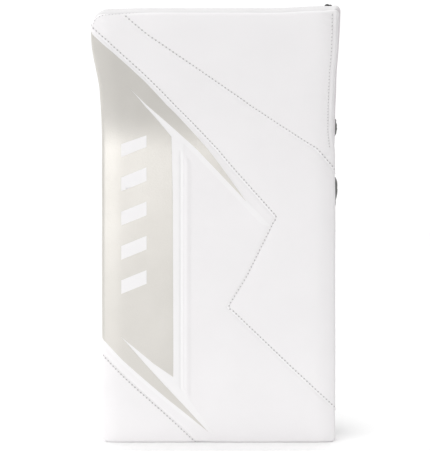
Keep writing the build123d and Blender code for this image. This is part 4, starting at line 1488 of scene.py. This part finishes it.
def mesh_padding(shares, height, points):
    """Rolls of the liner, flat where it lies on the board."""
    edge = smooth((CUFF_TOP - height) / 5) * smooth((height - 4) / 6)
    hidden = smooth((points[:, 1] - 19) / 6)
    return edge * hidden * (0.8 * rolls(height, 8, 28) + 0.3 * wrinkle(shares, height, 25.0, 12.0)) - 0.1


def bind_cuff(name, section, flip, *nodes):
    """Tape folded round an end of the cuff: heights and how far it stands outside the ring."""
    centre_x, centre_y, half_x, half_y, power = CUFF_RING
    rows = [(z, centre_x, centre_y, half_x + out, half_y + out, power) for z, out in section]
    tape = skin(name, tube(rows, around(200)), TAPE, 0.7, wrap=True, flip=flip, round_edge=0.0)
    place(tape, "grey_binding", *nodes)


def cuff():
    """Padded walls, mesh liner and gusset, sewn into a ring and bound at the rim."""
    walls_of_cuff = (
        ("cuff_thumb_padding", lambda x, y: (x > 38) & (y > 48), CUFF_WHITE_SHADED, CUFF_WALL, cuff_padding,
         "white_leather", "cuff_thumb_wall"),
        ("cuff_gusset_mesh", lambda x, y: (x > -14) & (x < 38) & (y > 48), MESH_KNIT, 2.4, gusset_folds,
         "dark_mesh", "cuff_palm_gusset"),
        ("cuff_outer_padding", lambda x, y: (x < -14) & (y > 48), CUFF_WHITE_SHADED, CUFF_WALL, cuff_padding,
         "white_leather", "cuff_outer_wall"),
        ("cuff_liner_mesh", lambda x, y: y < 48, MESH_KNIT, CUFF_WALL, mesh_padding,
         "dark_mesh", "cuff_back_liner"),
    )
    seams = []
    for name, test, material, thickness, bump, finish, cad_name in walls_of_cuff:
        low, high = span(test, 0.25 if name == "cuff_liner_mesh" else -0.25)
        shares = np.linspace(low, high, max(20, round((high - low) * 200)))
        rows = levels([(1.0, *CUFF_RING), (CUFF_TOP, *CUFF_RING)], 2.0)
        points = tube(rows, shares, bump)
        piece = skin(name, points, material, thickness, round_edge=1.4)
        place(piece, finish, cad_name)
        seams.append(points[3:, 0])
    place(cords("cuff_seam_piping", seams, 1.1, TAPE), "grey_binding")
    rim_tape = (
        (9.2, 0.9), (5, 1.25), (1.4, 1.15), (0.75, 0.2), (0.75, -4.4), (1.6, -5.6), (5, -5.9), (8.6, -5.7)
    )
    top_tape = ((86.5, 0.6), (90, 0.9), (92.4, 0.6), (93, -1.0), (92.9, -3.6), (92.2, -5.2), (88, -5.6))
    bind_cuff("cuff_rim_tape", rim_tape, True, "cuff_rim_binding")
    bind_cuff("cuff_top_tape", top_tape, False)


def plates():
    """Moulded plates and their sewn borders."""
    thumb_row = looped(rounded_outline(44, 68, 17, 81, 5))
    outer_row = [(z, y) for y, z in thumb_row]

    def on_thumb_plate(y, z, height):
        return np.stack([72.5 * MM + height, y, z], axis=-1)

    def on_outer_plate(z, y, height):
        return np.stack([-48.5 * MM - height, y, z], axis=-1)

    for name, row, surface in (
        ("cuff_thumb_plate", thumb_row, on_thumb_plate), ("cuff_outer_plate", outer_row, on_outer_plate)
    ):
        repaint(name, SHELL_PLASTIC, 0.8 * MM)
        sew(name, [row], surface, "shell_plastic", WHITE_STITCH)


# ---- Strap ----
STRAP_BODIES = ("board", "strap", (0.050, 0.0963, 0.065), (0.0405, 0.0963, 0.065))


def strap_face(x):
    """Outer face of the strap, which steps down onto its anchor."""
    return STRAP_FACE - 2.0 * smooth((x - 41) / 8.5)


def strap_surface(z, x, height):
    return np.stack([x, strap_face(x / MM) * MM + height, z], axis=-1)


def strap():
    """Webbing strap that steps down onto its anchor at the sewn end, with its rows of stitching and its
    patches.
    """
    corner = 12.0
    tip = -28 - corner * np.sin(np.linspace(0, math.pi / 2, 9))
    rows = []
    for x in (*np.arange(50, 38, -0.7), *np.arange(38, -29, -3.0), *tip):
        inset = corner - math.sqrt(max(corner**2 - max(-28 - x, 0) ** 2, 0))
        z = np.linspace(46.2 + inset, 83.8 - inset, 15)
        ribs = 0.12 * np.sin(math.pi * (z - 46) / 3.4)
        rows.append(np.stack([np.full(15, x), strap_face(x) + ribs, z], axis=1))
    piece = skin("wrist_strap_webbing", np.array(rows), WEBBING, 1.7, round_edge=0.4, flip=True)
    place(piece, "grey_webbing", "wrist_strap", body=STRAP_BODIES)
    edges = [millimetres([(z, 37), (z, -29)]) for z in (49.0, 81.0)]
    cross = [millimetres([(52, -24), (78, 4)]), millimetres([(78, -24), (52, 4)])]
    rows = [*edges, looped(rounded_outline(52, 78, -24, 4, 1)), *cross]
    sew("strap", rows, strap_surface, "grey_webbing", DARK_STITCH, body="strap")
    bars = [millimetres([(48, x), (82, x)]) for x in (46.8, 48.8)]
    sew("strap_anchor", bars, strap_surface, "grey_webbing", DARK_STITCH, body=STRAP_BODIES, pitch=3.0)
    repaint("hook_patch", PILE, 0.3 * MM)
    repaint("loop_patch", PILE, 0.3 * MM)
    repaint("strap_anchor", TAPE, 0.3 * MM)


# ---- Backhand: base, pad, eyelets and laces ----
def backhand():
    """Base sheet, quilted pad, eyelets and laces between glove and board."""
    repaint("backhand_base", GREY_LEATHER, 1.0 * MM)
    repaint("eyelets", NICKEL, 0.35 * MM)
    row = rounded_outline(12, 242, -54, 76, 14)

    def on_base(z, x, height):
        return np.stack([x, np.full_like(x, 18.0 * MM) + height, z], axis=-1)

    sew("backhand_base", [looped(row)], on_base, "grey_leather", DARK_STITCH)
    outline = rounded_outline(119.5, 241.5, -24.5, 64.5, 12)

    def stuffed(z, x, height):
        depth = line_distance(z, x, looped(outline)) / MM
        channel = 0.9 * np.exp(-((((z / MM - 150) % 30) / 1.8) ** 2))
        return on_base(z, x, height + (6.4 - 2.8 * np.exp(-depth / 3.5) - channel) * MM)

    pad = sewn_sheet("backhand_pad_foam", outline, stuffed, FACE_FOAM, 3.0 * MM, 3.2 * MM)
    place(pad, "soft_foam", "backhand_pad")
    paths = []
    for x, heights in ((-52, (24, 62, 100)), (74, (100, 158, 216))):
        for low in heights:
            for phase in (0, math.pi):
                share = np.linspace(0, 1, 25)
                twist = 2 * math.pi * 1.5 * share + phase
                y = 17.6 + 3.5 * np.sin(math.pi * share) ** 0.5 + 0.8 * np.sin(twist)
                paths.append(np.stack([x + 0.85 * np.cos(twist), y, low + 14 * share], axis=1))
    place(cords("attachment_lace_ties", paths, 0.9, LACE), "black_lace", "attachment_laces")


pocket()
palm_patch()
taper()
for finger_name, (finger_column, middle_joint, finger_tip) in FINGERS.items():
    finger(finger_name, finger_column, middle_joint, finger_tip)
thumb_saddle()
thumb()
guards()
cuff()
plates()
strap()
backhand()


# ---- Floor, light and camera ----
def area_light(name, place_at, target, size, power):
    data = bpy.data.lights.new(name, "AREA")
    data.shape = "RECTANGLE"
    data.size, data.size_y = size
    data.energy = power
    lamp = bpy.data.objects.new(name, data)
    bpy.context.scene.collection.objects.link(lamp)
    lamp.location = place_at
    lamp.rotation_euler = (Vector(target) - Vector(place_at)).to_track_quat("-Z", "Y").to_euler()


def studio():
    """White surroundings, dimmer behind the camera and to the right, over a pale floor painted darker in
    front of the board as painted shade.
    """
    world = bpy.data.worlds.new("studio")
    bpy.context.scene.world = world
    world.use_nodes = True
    tree = world.node_tree
    where = node(tree, "ShaderNodeTexCoord").outputs["Generated"]
    axes = node(tree, "ShaderNodeSeparateXYZ")
    tree.links.new(where, axes.inputs[0])
    front = remap(tree, axes.outputs["Y"], -0.25, 0.15, 0.62, 1.06)
    side = remap(tree, axes.outputs["X"], -0.6, 1.0, 0.07, -0.46)
    ahead = remap(tree, axes.outputs["Y"], -0.25, 0.15, 1.0, 0.0)
    strength = combine(tree, "ADD", front, combine(tree, "MULTIPLY", side, ahead))
    background = tree.nodes["Background"]
    background.inputs["Color"].default_value = (1, 1, 1, 1)
    tree.links.new(strength, background.inputs["Strength"])
    bpy.context.scene.view_settings.view_transform = "Standard"
    area_light("key", (-1.0, -1.9, 1.0), (0, 0, 0.15), (2.6, 2.6), 33)
    sun = bpy.data.lights.new("overhead", "SUN")
    sun.energy = 0.91
    sun.angle = math.radians(70)
    lamp = bpy.data.objects.new("overhead", sun)
    bpy.context.scene.collection.objects.link(lamp)
    lamp.rotation_euler = (math.radians(-14), math.radians(-8), 0)
    # The floor fades from near white under and behind the board to grey towards the camera: painted shade
    # standing in for a dim studio floor, so less light bounces up onto the bent top and into the silver.
    material, floor_tree, shader = new_material("floor", (0.9, 0.9, 0.9), 0.9)
    spot = node(floor_tree, "ShaderNodeSeparateXYZ")
    floor_tree.links.new(position(floor_tree), spot.inputs[0])
    mix = node(floor_tree, "ShaderNodeMix", data_type="RGBA")
    mix.inputs[6].default_value = (0.55, 0.55, 0.55, 1)
    mix.inputs[7].default_value = (0.98, 0.98, 0.98, 1)
    floor_tree.links.new(remap(floor_tree, spot.outputs["Y"], -0.40, -0.07), mix.inputs["Factor"])
    floor_tree.links.new(mix.outputs[2], shader.inputs["Base Color"])
    reach = 30
    corners = [(-reach, -reach, 0), (reach, -reach, 0), (reach, reach, 0), (-reach, reach, 0)]
    make_object("floor", corners, [(0, 1, 2, 3)], material)


def camera():
    """Looks straight at the striking face, from a little to the thumb side of its middle."""
    data = bpy.data.cameras.new("camera")
    cam = bpy.data.objects.new("camera", data)
    bpy.context.scene.collection.objects.link(cam)
    bpy.context.scene.camera = cam
    view_height = 395.53 * MM
    view_middle = -3.29 * MM
    cam.location = (28.28 * MM, -0.80, 191.01 * MM)
    cam.rotation_euler = (math.pi / 2, 0, 0)
    data.sensor_fit = "VERTICAL"
    data.sensor_height = 36.0
    data.lens = (-cam.location.y - HALF_DEPTH) / view_height * data.sensor_height
    data.shift_x = (view_middle - cam.location.x) / view_height
    data.clip_start, data.clip_end = 0.01, 100


studio()
camera()
